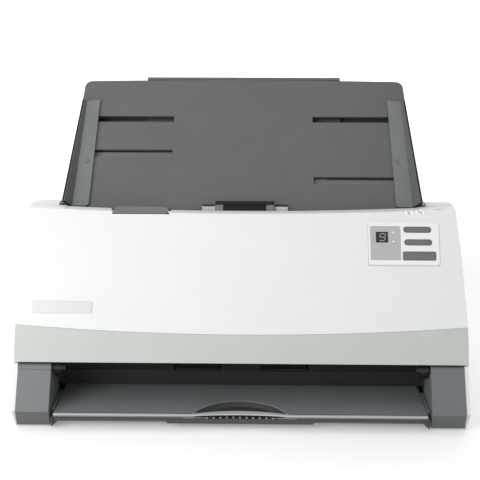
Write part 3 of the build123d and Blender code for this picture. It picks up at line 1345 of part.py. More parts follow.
def rack_teeth(t_root, n_low, n_high):
    """Straight rack teeth that face the pinion, tooth gaps centred on the pinion."""
    pitch = math.pi * RACK_M
    slope = math.tan(math.radians(PRESSURE))
    half = pitch / 4 - BACKLASH / 2
    pitch_t = PINION_T_POS - PINION_TEETH * RACK_M / 2
    tip_t = pitch_t + 0.9 * RACK_M
    count = int((FENCE_TRAVEL + 12) / pitch)
    points = [(-8.0, t_root - 0.2), (-8.0, t_root)]
    for k in range(-2, count - 2):
        mid = pitch * (k + 0.5)
        root_half = half + (pitch_t - t_root) * slope
        tip_half = half - (tip_t - pitch_t) * slope
        points += [(mid - root_half, t_root), (mid - tip_half, tip_t), (mid + tip_half, tip_t),
                   (mid + root_half, t_root)]
    points.append((pitch * (count - 2.5) + pitch, t_root))
    points.append((pitch * (count - 2.5) + pitch, t_root - 0.2))
    return chute_prism(polygon(*points), n_low, n_high)


def flip_rack(guide, t_mid, n_low, n_high):
    """Left guide: the right one mirrored, with its rack moved above the pinion."""
    lower = chute_box(-20, STEM_X - STEM_W / 2, t_mid - 6, PINION_T_POS, n_low - 1, n_high + 0.1)
    stem = chute_box(STEM_X - STEM_W / 2 - 0.1, STEM_X + STEM_W / 2 + 0.1, t_mid - 4, t_mid + 4,
                     n_low - 1, FLANGE_LIFT)
    rack = guide & (lower + stem)
    axis = Axis(CHUTE_PLANE.from_local_coords(Vector(0, PINION_T_POS, 0)), CHUTE_PLANE.z_dir)
    return mirrored(guide - lower - stem) + rack.rotate(axis, 180)


def rack_pinion():
    """Pinion that ties the two racks together."""
    face = Pos(0, PINION_T_POS) * gear_face(PINION_TEETH, RACK_M, 0.0, PIVOT_R + RUN_FIT)
    return chute_prism(face, -5.3, -3.0)


# Output tray

def strip_line(rise, y_end):
    """Front-edge line of the tray in plan: straight, with an arc set back in the middle."""
    return [
        Line((-TRAY_HALF, y_end), (-SCOOP_HALF, y_end)),
        ThreePointArc((-SCOOP_HALF, y_end), (0, FRONT_Y + rise), (SCOOP_HALF, y_end)),
        Line((SCOOP_HALF, y_end), (TRAY_HALF, y_end)),
    ]


def tray_strip():
    """Light edge of the tray: a thin bar that bridges the finger scoop."""
    face = make_face([
        *strip_line(STRIP_RISE, FRONT_Y), Line((TRAY_HALF, FRONT_Y), (TRAY_HALF, FRONT_Y + STRIP_W)),
        *strip_line(STRIP_BACK_RISE, FRONT_Y + STRIP_W),
        Line((-TRAY_HALF, FRONT_Y + STRIP_W), (-TRAY_HALF, FRONT_Y)),
    ])
    strip = extrude(Pos(0, 0, TRAY_TOP - STRIP_H) * face, STRIP_H)
    front = strip.faces().sort_by(Axis.Y)[:3]
    edges = [e for f in front for e in f.edges() if e.center().Z > TRAY_TOP - 0.1]
    return fillet(edges, 0.4)


def output_tray():
    """Pull-out output tray: the floor of the bay, with a finger scoop and a ribbed grip."""
    face = make_face([
        *strip_line(STRIP_BACK_RISE, FRONT_Y + STRIP_W), Line((TRAY_HALF, FRONT_Y + STRIP_W),
                                                              (TRAY_HALF, TRAY_BACK)),
        Line((TRAY_HALF, TRAY_BACK), (-TRAY_HALF, TRAY_BACK)),
        Line((-TRAY_HALF, TRAY_BACK), (-TRAY_HALF, FRONT_Y + STRIP_W)),
    ])
    tray = extrude(Pos(0, 0, TRAY_TOP - TRAY_T) * face, TRAY_T)
    under = make_face([
        *strip_line(STRIP_RISE + 0.4, FRONT_Y + 0.4), Line((TRAY_HALF, FRONT_Y + 0.4), (TRAY_HALF, FRONT_Y + STRIP_W)),
        *strip_line(STRIP_BACK_RISE, FRONT_Y + STRIP_W),
        Line((-TRAY_HALF, FRONT_Y + STRIP_W), (-TRAY_HALF, FRONT_Y + 0.4)),
    ])
    tray += extrude(Pos(0, 0, TRAY_TOP - TRAY_T) * under, TRAY_T - STRIP_H)
    boss_back = FRONT_Y + SCOOP_PEAK + 4
    boss = make_face([
        Line((-BOSS_HALF, FRONT_Y + STRIP_W), (-SCOOP_HALF, FRONT_Y + STRIP_W)),
        ThreePointArc((-SCOOP_HALF, FRONT_Y + STRIP_W), (0, FRONT_Y + STRIP_RISE + 2.2),
                      (SCOOP_HALF, FRONT_Y + STRIP_W)),
        Line((SCOOP_HALF, FRONT_Y + STRIP_W), (BOSS_HALF, FRONT_Y + STRIP_W)),
        Line((BOSS_HALF, FRONT_Y + STRIP_W), (BOSS_HALF, boss_back)),
        Line((BOSS_HALF, boss_back), (-BOSS_HALF, boss_back)),
        Line((-BOSS_HALF, boss_back), (-BOSS_HALF, FRONT_Y + STRIP_W)),
    ])
    tray += extrude(Pos(0, 0, BOSS_Z) * boss, TRAY_TOP - TRAY_T - BOSS_Z)
    scoop_y = FRONT_Y + SCOOP_PEAK - SCOOP_R
    scoop = Pos(0, scoop_y, TRAY_TOP - SCOOP_DEPTH) * Cone(
        SCOOP_R - 3.2, SCOOP_R, SCOOP_DEPTH, align=(Align.CENTER, Align.CENTER, Align.MIN))
    tray -= scoop
    for k in range(11):
        x = (k - 5) * 4.6
        y = FRONT_Y + STRIP_RISE + 2.2 - x * x * (STRIP_RISE + 2.2 - STRIP_W) / SCOOP_HALF ** 2
        tray += block(x - 0.7, x + 0.7, y - 1.1, y + 0.4, BOSS_Z, TRAY_TOP - SCOOP_DEPTH)
    return tray


# Electronics and ports

def main_board():
    """Upright main board at the back, standing on the pan."""
    board = block(-REAR_HALF + 7.0, 60, BOARD_Y, BOARD_Y + 1.6, PAN_TOP, 66)
    for x, z, w, h in ((-20, 44, 20, 20), (20, 30, 14, 14), (24, 52, 10, 14), (-60, 52, 16, 10)):
        board += block(x - w / 2, x + w / 2, BOARD_Y - 2.0, BOARD_Y, z - h / 2, z + h / 2)
    return board


def usb_port():
    """Square data socket with its tongue."""
    x0, x1 = USB_X - USB_W / 2, USB_X + USB_W / 2
    z0, z1 = PORT_Z - USB_H / 2, PORT_Z + USB_H / 2
    port = block(x0, x1, PORT_FRONT, REAR_Y - 0.4, z0, z1)
    port -= block(x0 + 1.4, x1 - 1.4, REAR_Y - 10, REAR_Y, z0 + 1.2, z1 - 1.2)
    return port + block(USB_X - 2.8, USB_X + 2.8, REAR_Y - 10.2, REAR_Y - 1.6, PORT_Z - 1.5, PORT_Z + 1.5)


def power_jack():
    """Round low-voltage socket with its centre pin."""
    back = Plane(origin=(JACK_X, PORT_FRONT, PORT_Z), z_dir=(0, 1, 0))
    length = REAR_Y - 0.3 - PORT_FRONT
    low = (Align.CENTER, Align.CENTER, Align.MIN)
    jack = back * Cylinder(JACK_R, length, align=low)
    jack -= back * Pos(0, 0, length - 9) * Cylinder(3.1, 12, align=low)
    return jack + back * Pos(0, 0, length - 9.2) * Cylinder(1.0, 8.4, align=low)


def switch_frame():
    """Frame of the power switch with its mouth to the back."""
    x0, x1 = SWITCH_X - SWITCH_W / 2, SWITCH_X + SWITCH_W / 2
    z0, z1 = PORT_Z - SWITCH_H / 2, PORT_Z + SWITCH_H / 2
    frame = block(x0, x1, PORT_FRONT, REAR_Y - 0.2, z0, z1)
    frame += block(x0 - FRAME_LIP, x1 + FRAME_LIP, REAR_Y - FRAME_LIP, REAR_Y, z0 - FRAME_LIP, z1 + FRAME_LIP)
    frame -= block(SWITCH_X - ROCKER_HALF - 1.0, SWITCH_X + ROCKER_HALF + 1.0, REAR_Y - 9.5, REAR_Y + 2,
                   PORT_Z - ROCKER_H / 2 - 0.4, PORT_Z + ROCKER_H / 2 + 0.4)
    return frame - Pos(SWITCH_X, ROCKER_PIVOT_Y, PORT_Z) * Cylinder(ROCKER_PIN_R + RUN_FIT, ROCKER_H + 2.6)


def power_rocker():
    """Rocker of the power switch, resting with one side down."""
    outline = make_face([
        Line((-ROCKER_HALF, 1.4), (-ROCKER_HALF, -1.6)),
        Line((-ROCKER_HALF, -1.6), (0, -3.2)),
        Line((0, -3.2), (ROCKER_HALF, -1.6)),
        Line((ROCKER_HALF, -1.6), (ROCKER_HALF, 1.4)),
        ThreePointArc((ROCKER_HALF, 1.4), (0, 0.4), (-ROCKER_HALF, 1.4)),
    ])
    body = extrude(Pos(0, 0, -ROCKER_H / 2) * outline, ROCKER_H) + Cylinder(ROCKER_PIN_R, ROCKER_H + 2.2)
    return Pos(SWITCH_X, ROCKER_PIVOT_Y, PORT_Z) * Rot(0, 0, -ROCKER_TILT) * body


def both(part_function, name):
    """Write the right-hand piece and its mirror image."""
    right = part_function()
    save(right, f"{name}_right")
    save(mirrored(right), f"{name}_left")


def build():
    """Write every node."""
    save(base_pan(), "base_pan")
    save(rubber_feet(), "rubber_feet")
    both(side_shell, "side_shell")
    save(rear_shell(), "rear_shell")
    both(front_block, "front_block")
    save(front_apron(), "front_apron")
    save(chassis_plate(), "chassis_plate_right")
    save(mirrored(chassis_plate()) + gear_studs(), "chassis_plate_left")
    save(bushings(), "bushings")
    save(rear_guide(), "rear_guide")
    save(exit_guide(), "exit_guide")
    save(sensor(REAR_SENSOR_W, -1), "rear_sensor")
    save(sensor_glass(REAR_SENSOR_W, -1), "rear_sensor_glass")
    save(drive_motor(), "drive_motor")
    save(main_board(), "main_board")
    save(Compound([usb_port(), power_jack()]), "rear_ports")
    save(switch_frame(), "switch_frame")
    save(power_rocker(), "power_rocker")

    save(shaft(PICK_C) + gear(PICK_C, PICK_TEETH, PICK_PHASE, SHAFT_R), "pick_shaft")
    save(tyres(PICK_C, PICK_R, PICK_W, (PAD_X,)), "pick_tyre")
    save(shaft(FEED_C) + gear(FEED_C, FEED_TEETH, FEED_PHASE, SHAFT_R), "feed_shaft")
    save(tyres(FEED_C, FEED_R, FEED_W, FEED_X), "feed_tyres")
    save(shaft(EXIT_ROLL_C) + gear(EXIT_ROLL_C, EXIT_TEETH, EXIT_PHASE, SHAFT_R), "exit_shaft")
    save(tyres(EXIT_ROLL_C, EXIT_ROLL_R, EXIT_W, EXIT_X), "exit_tyres")
    save(gear(UPPER_C, UPPER_TEETH, UPPER_PHASE, SHAFT_R + RUN_FIT), "upper_idler_gear")
    save(gear(LARGE_C, LARGE_TEETH, LARGE_PHASE, SHAFT_R + RUN_FIT), "large_idler_gear")
    motor_gear = gear(MOTOR_C, MOTOR_TEETH, MOTOR_PHASE, 0.5)
    motor_gear += rod_x(MOTOR_C, 1.5, -GEAR_X - GEAR_W, -CHASSIS_X - CHASSIS_T - 0.3)
    save(motor_gear, "motor_pinion")

    save(cover_shell(), "cover_shell")
    save(cover_band(), "cover_band")
    save(cover_frame(), "cover_frame")
    save(Compound([hinge_arm(), mirrored(hinge_arm())]), "hinge_arms")
    save(sensor(FRONT_SENSOR_W, 1), "front_sensor")
    save(sensor_glass(FRONT_SENSOR_W, 1), "front_sensor_glass")
    save(idler_rollers(FEED_IDLER_C, IDLER_R, IDLER_W, FEED_X), "feed_idlers")
    save(idler_rollers(EXIT_IDLER_C, EXIT_IDLER_R, IDLER_W, EXIT_X), "exit_idlers")
    save(panel_bezel(), "panel_bezel")
    save(panel_label(), "panel_label")
    save(display_window(), "display_window")
    save(panel_board(), "panel_board")
    save(button(PILL_1), "button_upper")
    save(button(PILL_2), "button_lower")
    save(button(SCAN), "button_scan")
    save(name_plate(), "name_plate")
    save(release_lever(), "release_lever")
    save(latch_shaft(), "latch_shaft")
    save(pad_holder(), "pad_holder")
    save(pad_rubber(), "pad_rubber")
    save(pad_clips(), "pad_clips")
    save(pad_flaps(), "pad_flaps")

    save(chute_panel(), "chute_panel")
    save(chute_back(), "chute_back")
    save(Compound([chute_lug(), mirrored(chute_lug())]), "chute_lugs")
    save(chute_extension(), "chute_extension")
    save(paper_guide(1), "paper_guide_right")
    save(paper_guide(-1), "paper_guide_left")
    save(rack_pinion(), "rack_pinion")

    save(output_tray(), "output_tray")
    save(tray_strip(), "tray_strip")


build()
print("ok")
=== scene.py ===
import json
import math

import bmesh
import bpy
from mathutils import Matrix, Vector
from mathutils.bvhtree import BVHTree


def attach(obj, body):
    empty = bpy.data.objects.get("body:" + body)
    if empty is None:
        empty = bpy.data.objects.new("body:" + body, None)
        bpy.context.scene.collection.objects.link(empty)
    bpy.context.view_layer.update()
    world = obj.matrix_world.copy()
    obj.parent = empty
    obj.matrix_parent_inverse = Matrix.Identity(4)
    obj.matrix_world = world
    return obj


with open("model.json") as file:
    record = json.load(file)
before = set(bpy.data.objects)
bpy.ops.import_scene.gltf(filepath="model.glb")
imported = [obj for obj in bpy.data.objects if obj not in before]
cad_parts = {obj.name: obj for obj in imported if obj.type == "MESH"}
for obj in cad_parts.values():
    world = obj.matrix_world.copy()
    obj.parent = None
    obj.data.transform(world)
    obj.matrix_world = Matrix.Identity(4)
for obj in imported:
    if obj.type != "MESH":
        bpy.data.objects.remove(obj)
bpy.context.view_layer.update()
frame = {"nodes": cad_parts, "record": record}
NODES = frame["nodes"]

# Camera, in metres and degrees
CAMERA_AT = (0.010792, -0.7180, 0.3182)
CAMERA_PITCH = 15.838
CAMERA_YAW = 0.988
CAMERA_ROLL = 0.072
LENS = 75.0
SENSOR_WIDTH = 36.0

# Studio, in metres
WORLD_STRENGTH = 0.475
FLOOR_REACH = 40.0
SWEEP_START = 1.6
SWEEP_RADIUS = 0.8
SWEEP_STEPS = 22
SWEEP_TOP = 3.5

# Shading of the CAD nodes, in metres and radians
EDGE_RADIUS = 0.0004
CREASE = math.radians(28)
FLAT_LIMIT = math.radians(0.25)
MERGE_DISTANCE = 0.000002
NORMAL_WEIGHT = 80

# Details, in millimetres
MM = 0.001
DETAIL_CREASE = math.radians(32)
PROBE_START = 30.0
BACK_Y = 85.35
FRONT = (0, -0.87, 0.49)
LAMP_X = 108.1
DISPLAY_X = 99.8
SEAM_WIDTH = 50.2
SEAM_HEIGHT = 30.6
SEAM_STEP = 1.5
CHUTE_FOOT = (-8.8, 142.0)
CHUTE_LEAN = math.radians(42.1)
TRAY_TOP = 12.4
SCOOP_HALF = 33.5
SCOOP_DEPTH = 2.4
GRIP_FACE_Y = -BACK_Y + 4.5
RIB_COUNT = 11
RIB_PITCH = 4.6
RIB_DEPTH = 1.1


# Camera, light and floor

def add_camera():
    """Camera at the photograph's place and angle."""
    pitch, yaw, roll = (math.radians(a) for a in (CAMERA_PITCH, CAMERA_YAW, CAMERA_ROLL))
    level = math.cos(pitch)
    forward = Vector((-math.sin(yaw) * level, math.cos(yaw) * level, -math.sin(pitch)))
    right = Vector((math.cos(yaw), math.sin(yaw), 0.0))
    upward = right.cross(forward)
    rolled_right = right * math.cos(roll) + upward * math.sin(roll)
    rolled_up = upward * math.cos(roll) - right * math.sin(roll)
    data = bpy.data.cameras.new("camera")
    data.lens = LENS
    data.sensor_width = SENSOR_WIDTH
    camera = bpy.data.objects.new("camera", data)
    bpy.context.collection.objects.link(camera)
    turn = Matrix((rolled_right, rolled_up, -forward)).transposed().to_4x4()
    camera.matrix_world = Matrix.Translation(CAMERA_AT) @ turn
    bpy.context.scene.camera = camera


def add_area(name, place, target, size, power):
    """One soft rectangular light aimed at a point."""
    data = bpy.data.lights.new(name, "AREA")
    data.shape = "RECTANGLE"
    data.size, data.size_y = size
    data.energy = power
    lamp = bpy.data.objects.new(name, data)
    bpy.context.collection.objects.link(lamp)
    lamp.location = place
    aim = Vector(target) - Vector(place)
    lamp.rotation_euler = aim.to_track_quat("-Z", "Y").to_euler()


def add_light():
    """Plain soft studio light, stronger from the left."""
    world = bpy.data.worlds.new("studio")
    bpy.context.scene.world = world
    world.use_nodes = True
    background = world.node_tree.nodes["Background"]
    background.inputs["Color"].default_value = (1, 1, 1, 1)
    background.inputs["Strength"].default_value = WORLD_STRENGTH
    add_area("key", (-0.62, -0.62, 0.45), (-0.05, -0.08, 0.08), (0.6, 0.5), 4.4)
    add_area("top", (-0.15, -0.1, 1.1), (0, 0, 0.1), (1.0, 0.8), 2.0)
    bpy.context.scene.view_settings.view_transform = "Standard"


def add_floor():
    """Plain pale floor that runs up into a backdrop."""
    profile = [(-FLOOR_REACH, 0.0)]
    for k in range(SWEEP_STEPS + 1):
        turn = math.pi / 2 * k / SWEEP_STEPS
        profile.append((SWEEP_START + SWEEP_RADIUS * math.sin(turn),
                        SWEEP_RADIUS - SWEEP_RADIUS * math.cos(turn)))
    profile.append((SWEEP_START + SWEEP_RADIUS, SWEEP_TOP))
    mesh = bmesh.new()
    rows = [[mesh.verts.new((x, y, z)) for x in (-FLOOR_REACH, FLOOR_REACH)] for y, z in profile]
    for low, high in zip(rows, rows[1:]):
        mesh.faces.new((low[0], low[1], high[1], high[0]))
    data = bpy.data.meshes.new("floor")
    mesh.to_mesh(data)
    mesh.free()
    floor = bpy.data.objects.new("floor", data)
    bpy.context.collection.objects.link(floor)
    for face in data.polygons:
        face.use_smooth = True
    data.materials.append(MATERIALS["floor"])


# Materials

def tint(colour, share):
    """A colour made lighter or darker by a share."""
    return tuple(min(1.0, max(0.0, c * (1 + share))) for c in colour)


class Nodes:
    """Short calls for building one node material."""

    def __init__(self, name, **surface):
        self.material = bpy.data.materials.new(name)
        self.material.use_nodes = True
        self.tree = self.material.node_tree
        self.shader = self.tree.nodes["Principled BSDF"]
        for field, value in surface.items():
            self.shader.inputs[field.replace("_", " ")].default_value = value

    def add(self, kind, **values):
        """A node with its sockets or settings filled in."""
        node = self.tree.nodes.new(kind)
        for key, value in values.items():
            if key in node.inputs.keys():
                node.inputs[key].default_value = value
            else:
                setattr(node, key, value)
        return node

    def link(self, source, output, target, field):
        """A wire from one node's socket to another's."""
        self.tree.links.new(source.outputs[output], target.inputs[field])

    def place(self):
        """The point's own place on the object."""
        return self.add("ShaderNodeTexCoord")

    def noise(self, scale, detail=3.0, rough=0.5):
        """Cloudy noise at a scale."""
        node = self.add("ShaderNodeTexNoise", Scale=scale, Detail=detail, Roughness=rough)
        self.link(self.place(), "Object", node, "Vector")
        return node

    def ramp(self, source, stops):
        """Two colours set against a noise's value."""
        node = self.add("ShaderNodeValToRGB")
        for element, (at, colour) in zip(node.color_ramp.elements, stops):
            element.position = at
            element.color = (*colour, 1)
        self.link(source, "Fac", node, "Fac")
        return node

    def shades(self, source, colour, down, up):
        """The base colour, varied by a noise."""
        node = self.ramp(source, [(0.3, tint(colour, -down)), (0.7, tint(colour, up))])
        self.link(node, "Color", self.shader, "Base Color")

    def gloss(self, source, low, high, start=0.3, end=0.7):
        """The roughness, varied by a noise."""
        node = self.ramp(source, [(start, (low,) * 3), (end, (high,) * 3)])
        self.link(node, "Color", self.shader, "Roughness")

    def bump(self, source, strength, distance):
        """Fine relief from a noise."""
        node = self.add("ShaderNodeBump", Strength=strength, Distance=distance)
        self.link(source, "Fac", node, "Height")
        self.link(node, "Normal", self.shader, "Normal")

    def remap(self, source, output, ends, **values):
        """A value carried from one range to another."""
        node = self.add("ShaderNodeMapRange", **values)
        for field, value in zip(("From Min", "From Max", "To Min", "To Max"), ends):
            node.inputs[field].default_value = value
        self.link(source, output, node, "Value")
        return node


def plastic(name, colour, rough, grain, depth, spread, coat=0.0, specular=0.5, low=0.6):
    """Moulded plastic: fine spark grain, faint clouding of colour and gloss, and painted shade
    that darkens faces turned downward.
    """
    n = Nodes(name, Coat_Weight=coat, Specular_IOR_Level=specular)
    colours = n.ramp(n.noise(28.0, 4.0, 0.6),
                     [(0.3, tint(colour, -spread)), (0.7, tint(colour, spread))])
    # Painted shade: the base colour is multiplied darker on faces turned downward, down to low at
    # the steepest
    facing = n.add("ShaderNodeSeparateXYZ")
    n.link(n.add("ShaderNodeNewGeometry"), "Normal", facing, "Vector")
    under = n.remap(facing, "Z", (-0.4, -0.03, low, 1.0))
    shade = n.add("ShaderNodeMix", data_type="RGBA", blend_type="MULTIPLY")
    shade.inputs["Factor"].default_value = 1.0
    first, second = [socket for socket in shade.inputs if socket.type == "RGBA"]
    result = next(socket for socket in shade.outputs if socket.type == "RGBA")
    n.tree.links.new(colours.outputs["Color"], first)
    n.tree.links.new(under.outputs["Result"], second)
    n.tree.links.new(result, n.shader.inputs["Base Color"])
    n.gloss(n.noise(60.0, 2.0), rough - 0.05, rough + 0.05)
    n.bump(n.noise(grain, 2.0, 0.6), depth, 0.00012)
    return n.material


def backdrop(name):
    """Pale paper sweep, glowing a little further out so that it stays white."""
    n = Nodes(name, Roughness=0.85, Specular_IOR_Level=0.1, Emission_Color=(1, 1, 1, 1))
    shade = n.ramp(n.noise(5.0, 2.0), [(0.3, (0.895,) * 3), (0.7, (0.905,) * 3)])
    n.link(shade, "Color", n.shader, "Base Color")
    away = n.add("ShaderNodeVectorMath", operation="LENGTH")
    n.link(n.place(), "Object", away, "Vector")
    glow = n.remap(away, "Value", (0.3, 1.1, 0.24, 0.62), interpolation_type="SMOOTHSTEP")
    n.link(glow, "Result", n.shader, "Emission Strength")
    return n.material


def steel(name, colour):
    """Bright drawn or rolled steel with fine lines."""
    n = Nodes(name, Metallic=1.0)
    mapping = n.add("ShaderNodeMapping")
    mapping.inputs["Scale"].default_value = (1.0, 60.0, 60.0)
    n.link(n.place(), "Object", mapping, "Vector")
    lines = n.add("ShaderNodeTexNoise", Scale=60.0, Detail=4.0)
    n.link(mapping, "Vector", lines, "Vector")
    n.shades(lines, colour, 0.12, 0.08)
    n.gloss(lines, 0.22, 0.4, 0.2, 0.8)
    n.bump(lines, 0.15, 0.0001)
    return n.material


def rubber(name, colour):
    """Matte rubber with a fine ground surface."""
    n = Nodes(name, Roughness=0.82, Specular_IOR_Level=0.3)
    n.shades(n.noise(320.0, 4.0), colour, 0.25, 0.25)
    n.bump(n.noise(1800.0, 3.0), 0.5, 0.0002)
    return n.material


def board(name, colour):
    """Circuit board lacquer with copper runs just showing through."""
    n = Nodes(name)
    mapping = n.add("ShaderNodeMapping")
    mapping.inputs["Rotation"].default_value = (math.radians(90), 0, 0)
    n.link(n.place(), "Object", mapping, "Vector")
    runs = n.add("ShaderNodeTexBrick", Scale=160.0)
    for field, share in (("Color1", 0.15), ("Color2", -0.1), ("Mortar", 0.7)):
        runs.inputs[field].default_value = (*tint(colour, share), 1)
    runs.inputs["Mortar Size"].default_value = 0.04
    n.link(mapping, "Vector", runs, "Vector")
    n.link(runs, "Color", n.shader, "Base Color")
    n.gloss(n.noise(90.0), 0.28, 0.4)
    return n.material


def film(name, colour):
    """Thin cloudy plastic film."""
    n = Nodes(name, Roughness=0.25, Transmission_Weight=0.45, IOR=1.2)
    n.shades(n.noise(140.0, 3.0), colour, 0.05, 0.05)
    return n.material


def glass(name, colour):
    """Dark scanner glass with a faint tint."""
    n = Nodes(name, Roughness=0.06, Coat_Weight=0.6)
    n.shades(n.noise(70.0, 2.0), colour, 0.1, 0.1)
    return n.material


# Each plastic: colour, roughness, grain scale, grain relief, colour spread, then what is special;
# low sets the painted shade on faces turned downward
PLASTICS = {
    "shell_white": ((0.78, 0.79, 0.785), 0.42, 3000.0, 0.1, 0.008, {}),
    "band_grey": ((0.525, 0.552, 0.52), 0.4, 2600.0, 0.1, 0.012, {}),
    "bezel_white": ((0.84, 0.85, 0.85), 0.32, 3000.0, 0.05, 0.008, {}),
    "label_grey": ((0.44, 0.455, 0.44), 0.38, 2600.0, 0.06, 0.02, {}),
    "display_black": ((0.012, 0.012, 0.012), 0.14, 900.0, 0.02, 0.2, {"coat": 0.6}),
    "key_grey": ((0.145, 0.149, 0.153), 0.4, 2600.0, 0.1, 0.04, {}),
    "block_grey": ((0.158, 0.172, 0.177), 0.45, 2200.0, 0.16, 0.04, {"low": 0.45}),
    "tray_grey": ((0.2, 0.214, 0.224), 0.42, 2200.0, 0.16, 0.05, {}),
    "strip_silver": ((0.5, 0.51, 0.515), 0.34, 2600.0, 0.08, 0.02, {}),
    "chute_grey": ((0.105, 0.111, 0.117), 0.45, 2200.0, 0.18, 0.04, {}),
    "guide_grey": ((0.165, 0.174, 0.18), 0.42, 2200.0, 0.16, 0.04, {}),
    "frame_black": ((0.02, 0.021, 0.022), 0.5, 2200.0, 0.16, 0.12, {"specular": 0.3}),
    "gear_white": ((0.78, 0.77, 0.72), 0.35, 2400.0, 0.08, 0.02, {}),
    "clip_grey": ((0.165, 0.172, 0.172), 0.4, 2600.0, 0.1, 0.04, {}),
    "plate_pale": ((0.68, 0.70, 0.68), 0.3, 2600.0, 0.05, 0.02, {}),
    "digit_pale": ((0.42, 0.42, 0.36), 0.4, 2600.0, 0.05, 0.05, {}),
    "lens_white": ((0.88, 0.89, 0.88), 0.2, 2600.0, 0.03, 0.01, {"coat": 0.4}),
    "tab_white": ((0.93, 0.93, 0.93), 0.3, 2600.0, 0.03, 0.005, {}),
    "ink_grey": ((0.13, 0.13, 0.135), 0.45, 2600.0, 0.05, 0.08, {}),
    # Dark for joint lines with painted shadow along them, and for the painted shade of the
    # shoulder slot
    "joint_and_shade_dark": ((0.2, 0.2, 0.2), 0.6, 2600.0, 0.05, 0.1, {}),
    "apron_grey": ((0.058, 0.063, 0.06), 0.45, 2200.0, 0.16, 0.05, {}),
    "wall_black": ((0.03, 0.032, 0.033), 0.55, 2200.0, 0.16, 0.08, {"specular": 0.3, "low": 1.0}),
    "fence_shade": ((0.105, 0.112, 0.116), 0.45, 2200.0, 0.14, 0.05, {}),
    # Dark for the painted shade in the finger scoop
    "scoop_shade_dark": ((0.04, 0.044, 0.047), 0.45, 2200.0, 0.16, 0.05, {}),
    "pad_black": ((0.009, 0.0095, 0.01), 0.55, 2200.0, 0.2, 0.15, {"specular": 0.25}),
    # Light grey for the painted highlights on the scoop's rim and the grip's ribs
    "painted_highlight_grey": ((0.27, 0.282, 0.286), 0.35, 2200.0, 0.1, 0.04, {}),
}
MATERIALS = {name: plastic(name, *finish[:5], **finish[5]) for name, finish in PLASTICS.items()}
MATERIALS["floor"] = backdrop("floor")
MATERIALS["steel"] = steel("steel", (0.62, 0.63, 0.64))
MATERIALS["roller_rubber"] = rubber("roller_rubber", (0.02, 0.02, 0.022))
# Black rubber for the flap edges and fence strips, also laid as painted shade: screw wells and
# crosses, the sheet behind the vents, the strip's joint and the shadow behind the grip's ribs
MATERIALS["black_and_painted_shade"] = rubber("black_and_painted_shade", (0.012, 0.012, 0.013))
MATERIALS["tyre_black"] = rubber("tyre_black", (0.005, 0.005, 0.005))
MATERIALS["film_pale"] = film("film_pale", (0.82, 0.84, 0.84))
MATERIALS["sensor_glass"] = glass("sensor_glass", (0.03, 0.045, 0.045))
MATERIALS["circuit_board"] = board("circuit_board", (0.02, 0.12, 0.05))

# Nodes whose finish differs from their slot's
FINER = {"name_plate": "plate_pale", "front_apron": "apron_grey", "exit_guide": "wall_black",
         "exit_tyres": "tyre_black", "pad_holder": "pad_black"}


# Clean shading of the CAD nodes

def shading_group():
    """Modifier nodes that join a shell's faces and keep only its real edges sharp."""
    group = bpy.data.node_groups.new("clean_shading", "GeometryNodeTree")
    for side in ("INPUT", "OUTPUT"):
        group.interface.new_socket("Geometry", in_out=side, socket_type="NodeSocketGeometry")
    add = group.nodes.new
    link = group.links.new
    start, end = add("NodeGroupInput"), add("NodeGroupOutput")
    plain = add("GeometryNodeRemoveAttribute")
    plain.inputs["Name"].default_value = "custom_normal"
    merge = add("GeometryNodeMergeByDistance")
    merge.inputs["Distance"].default_value = MERGE_DISTANCE
    angle = add("GeometryNodeInputMeshEdgeAngle")
    gentle = add("FunctionNodeCompare")
    gentle.data_type = "FLOAT"
    gentle.operation = "LESS_THAN"
    gentle.inputs[1].default_value = CREASE
    faces = add("GeometryNodeSetShadeSmooth")
    faces.domain = "FACE"
    edges = add("GeometryNodeSetShadeSmooth")
    edges.domain = "EDGE"
    chain = (start, plain, merge, faces, edges, end)
    for source, target in zip(chain, chain[1:]):
        link(source.outputs[0], target.inputs[0])
    link(angle.outputs["Unsigned Angle"], gentle.inputs[0])
    link(gentle.outputs["Result"], edges.inputs["Shade Smooth"])
    return group


def dress_nodes():
    """Give every CAD node its material, a small edge radius and clean shading."""
    group = shading_group()
    slots = {s["node"]: s["material_slot"] for s in frame["record"]["subparts"]}
    for name, obj in NODES.items():
        obj.data.materials.clear()
        obj.data.materials.append(MATERIALS[FINER.get(name, slots[name])])
        clean = obj.modifiers.new("clean", "NODES")
        clean.node_group = group
        flat = obj.modifiers.new("flat", "DECIMATE")
        flat.decimate_type = "DISSOLVE"
        flat.angle_limit = FLAT_LIMIT
        edge = obj.modifiers.new("edge", "BEVEL")
        edge.width = EDGE_RADIUS
        edge.segments = 2
        edge.limit_method = "ANGLE"
        edge.angle_limit = CREASE
        even = obj.modifiers.new("even", "WEIGHTED_NORMAL")
        even.mode = "FACE_AREA_WITH_ANGLE"
        even.weight = NORMAL_WEIGHT
        even.keep_sharp = True


# Shapes for the details, in millimetres

def made(name, mesh, material, body, smooth=True):
    """A finished mesh as an object of the part, riding on one body."""
    bmesh.ops.recalc_face_normals(mesh, faces=mesh.faces)
    data = bpy.data.meshes.new(name)
    mesh.to_mesh(data)
    mesh.free()
    for vertex in data.vertices:
        vertex.co *= MM
    if smooth:
        data.shade_smooth()
        data.set_sharp_from_angle(angle=DETAIL_CREASE)
    data.materials.append(MATERIALS[material])
    obj = bpy.data.objects.new(name, data)
    bpy.context.collection.objects.link(obj)
    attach(obj, body)


class Seat:
    """A point on the skin of a node, with x across, y up the skin and z outward."""

    def __init__(self, node, point, outward):
        mesh = bmesh.new()
        mesh.from_mesh(NODES[node].data)
        self.tree = BVHTree.FromBMesh(mesh)
        mesh.free()
        outward = Vector(outward).normalized()
        start = (Vector(point) + outward * PROBE_START) * MM
        place, normal, _, _ = self.tree.ray_cast(start, -outward)
        self.origin = place / MM
        self.z = normal.normalized() if normal.dot(outward) > 0 else -normal.normalized()
        self.x = (Vector((1, 0, 0)) - self.z * self.z.x).normalized()
        self.y = self.z.cross(self.x)

    def at(self, u, v, w):
        """The point across, up and outward from the seat."""
        return self.origin + self.x * u + self.y * v + self.z * w


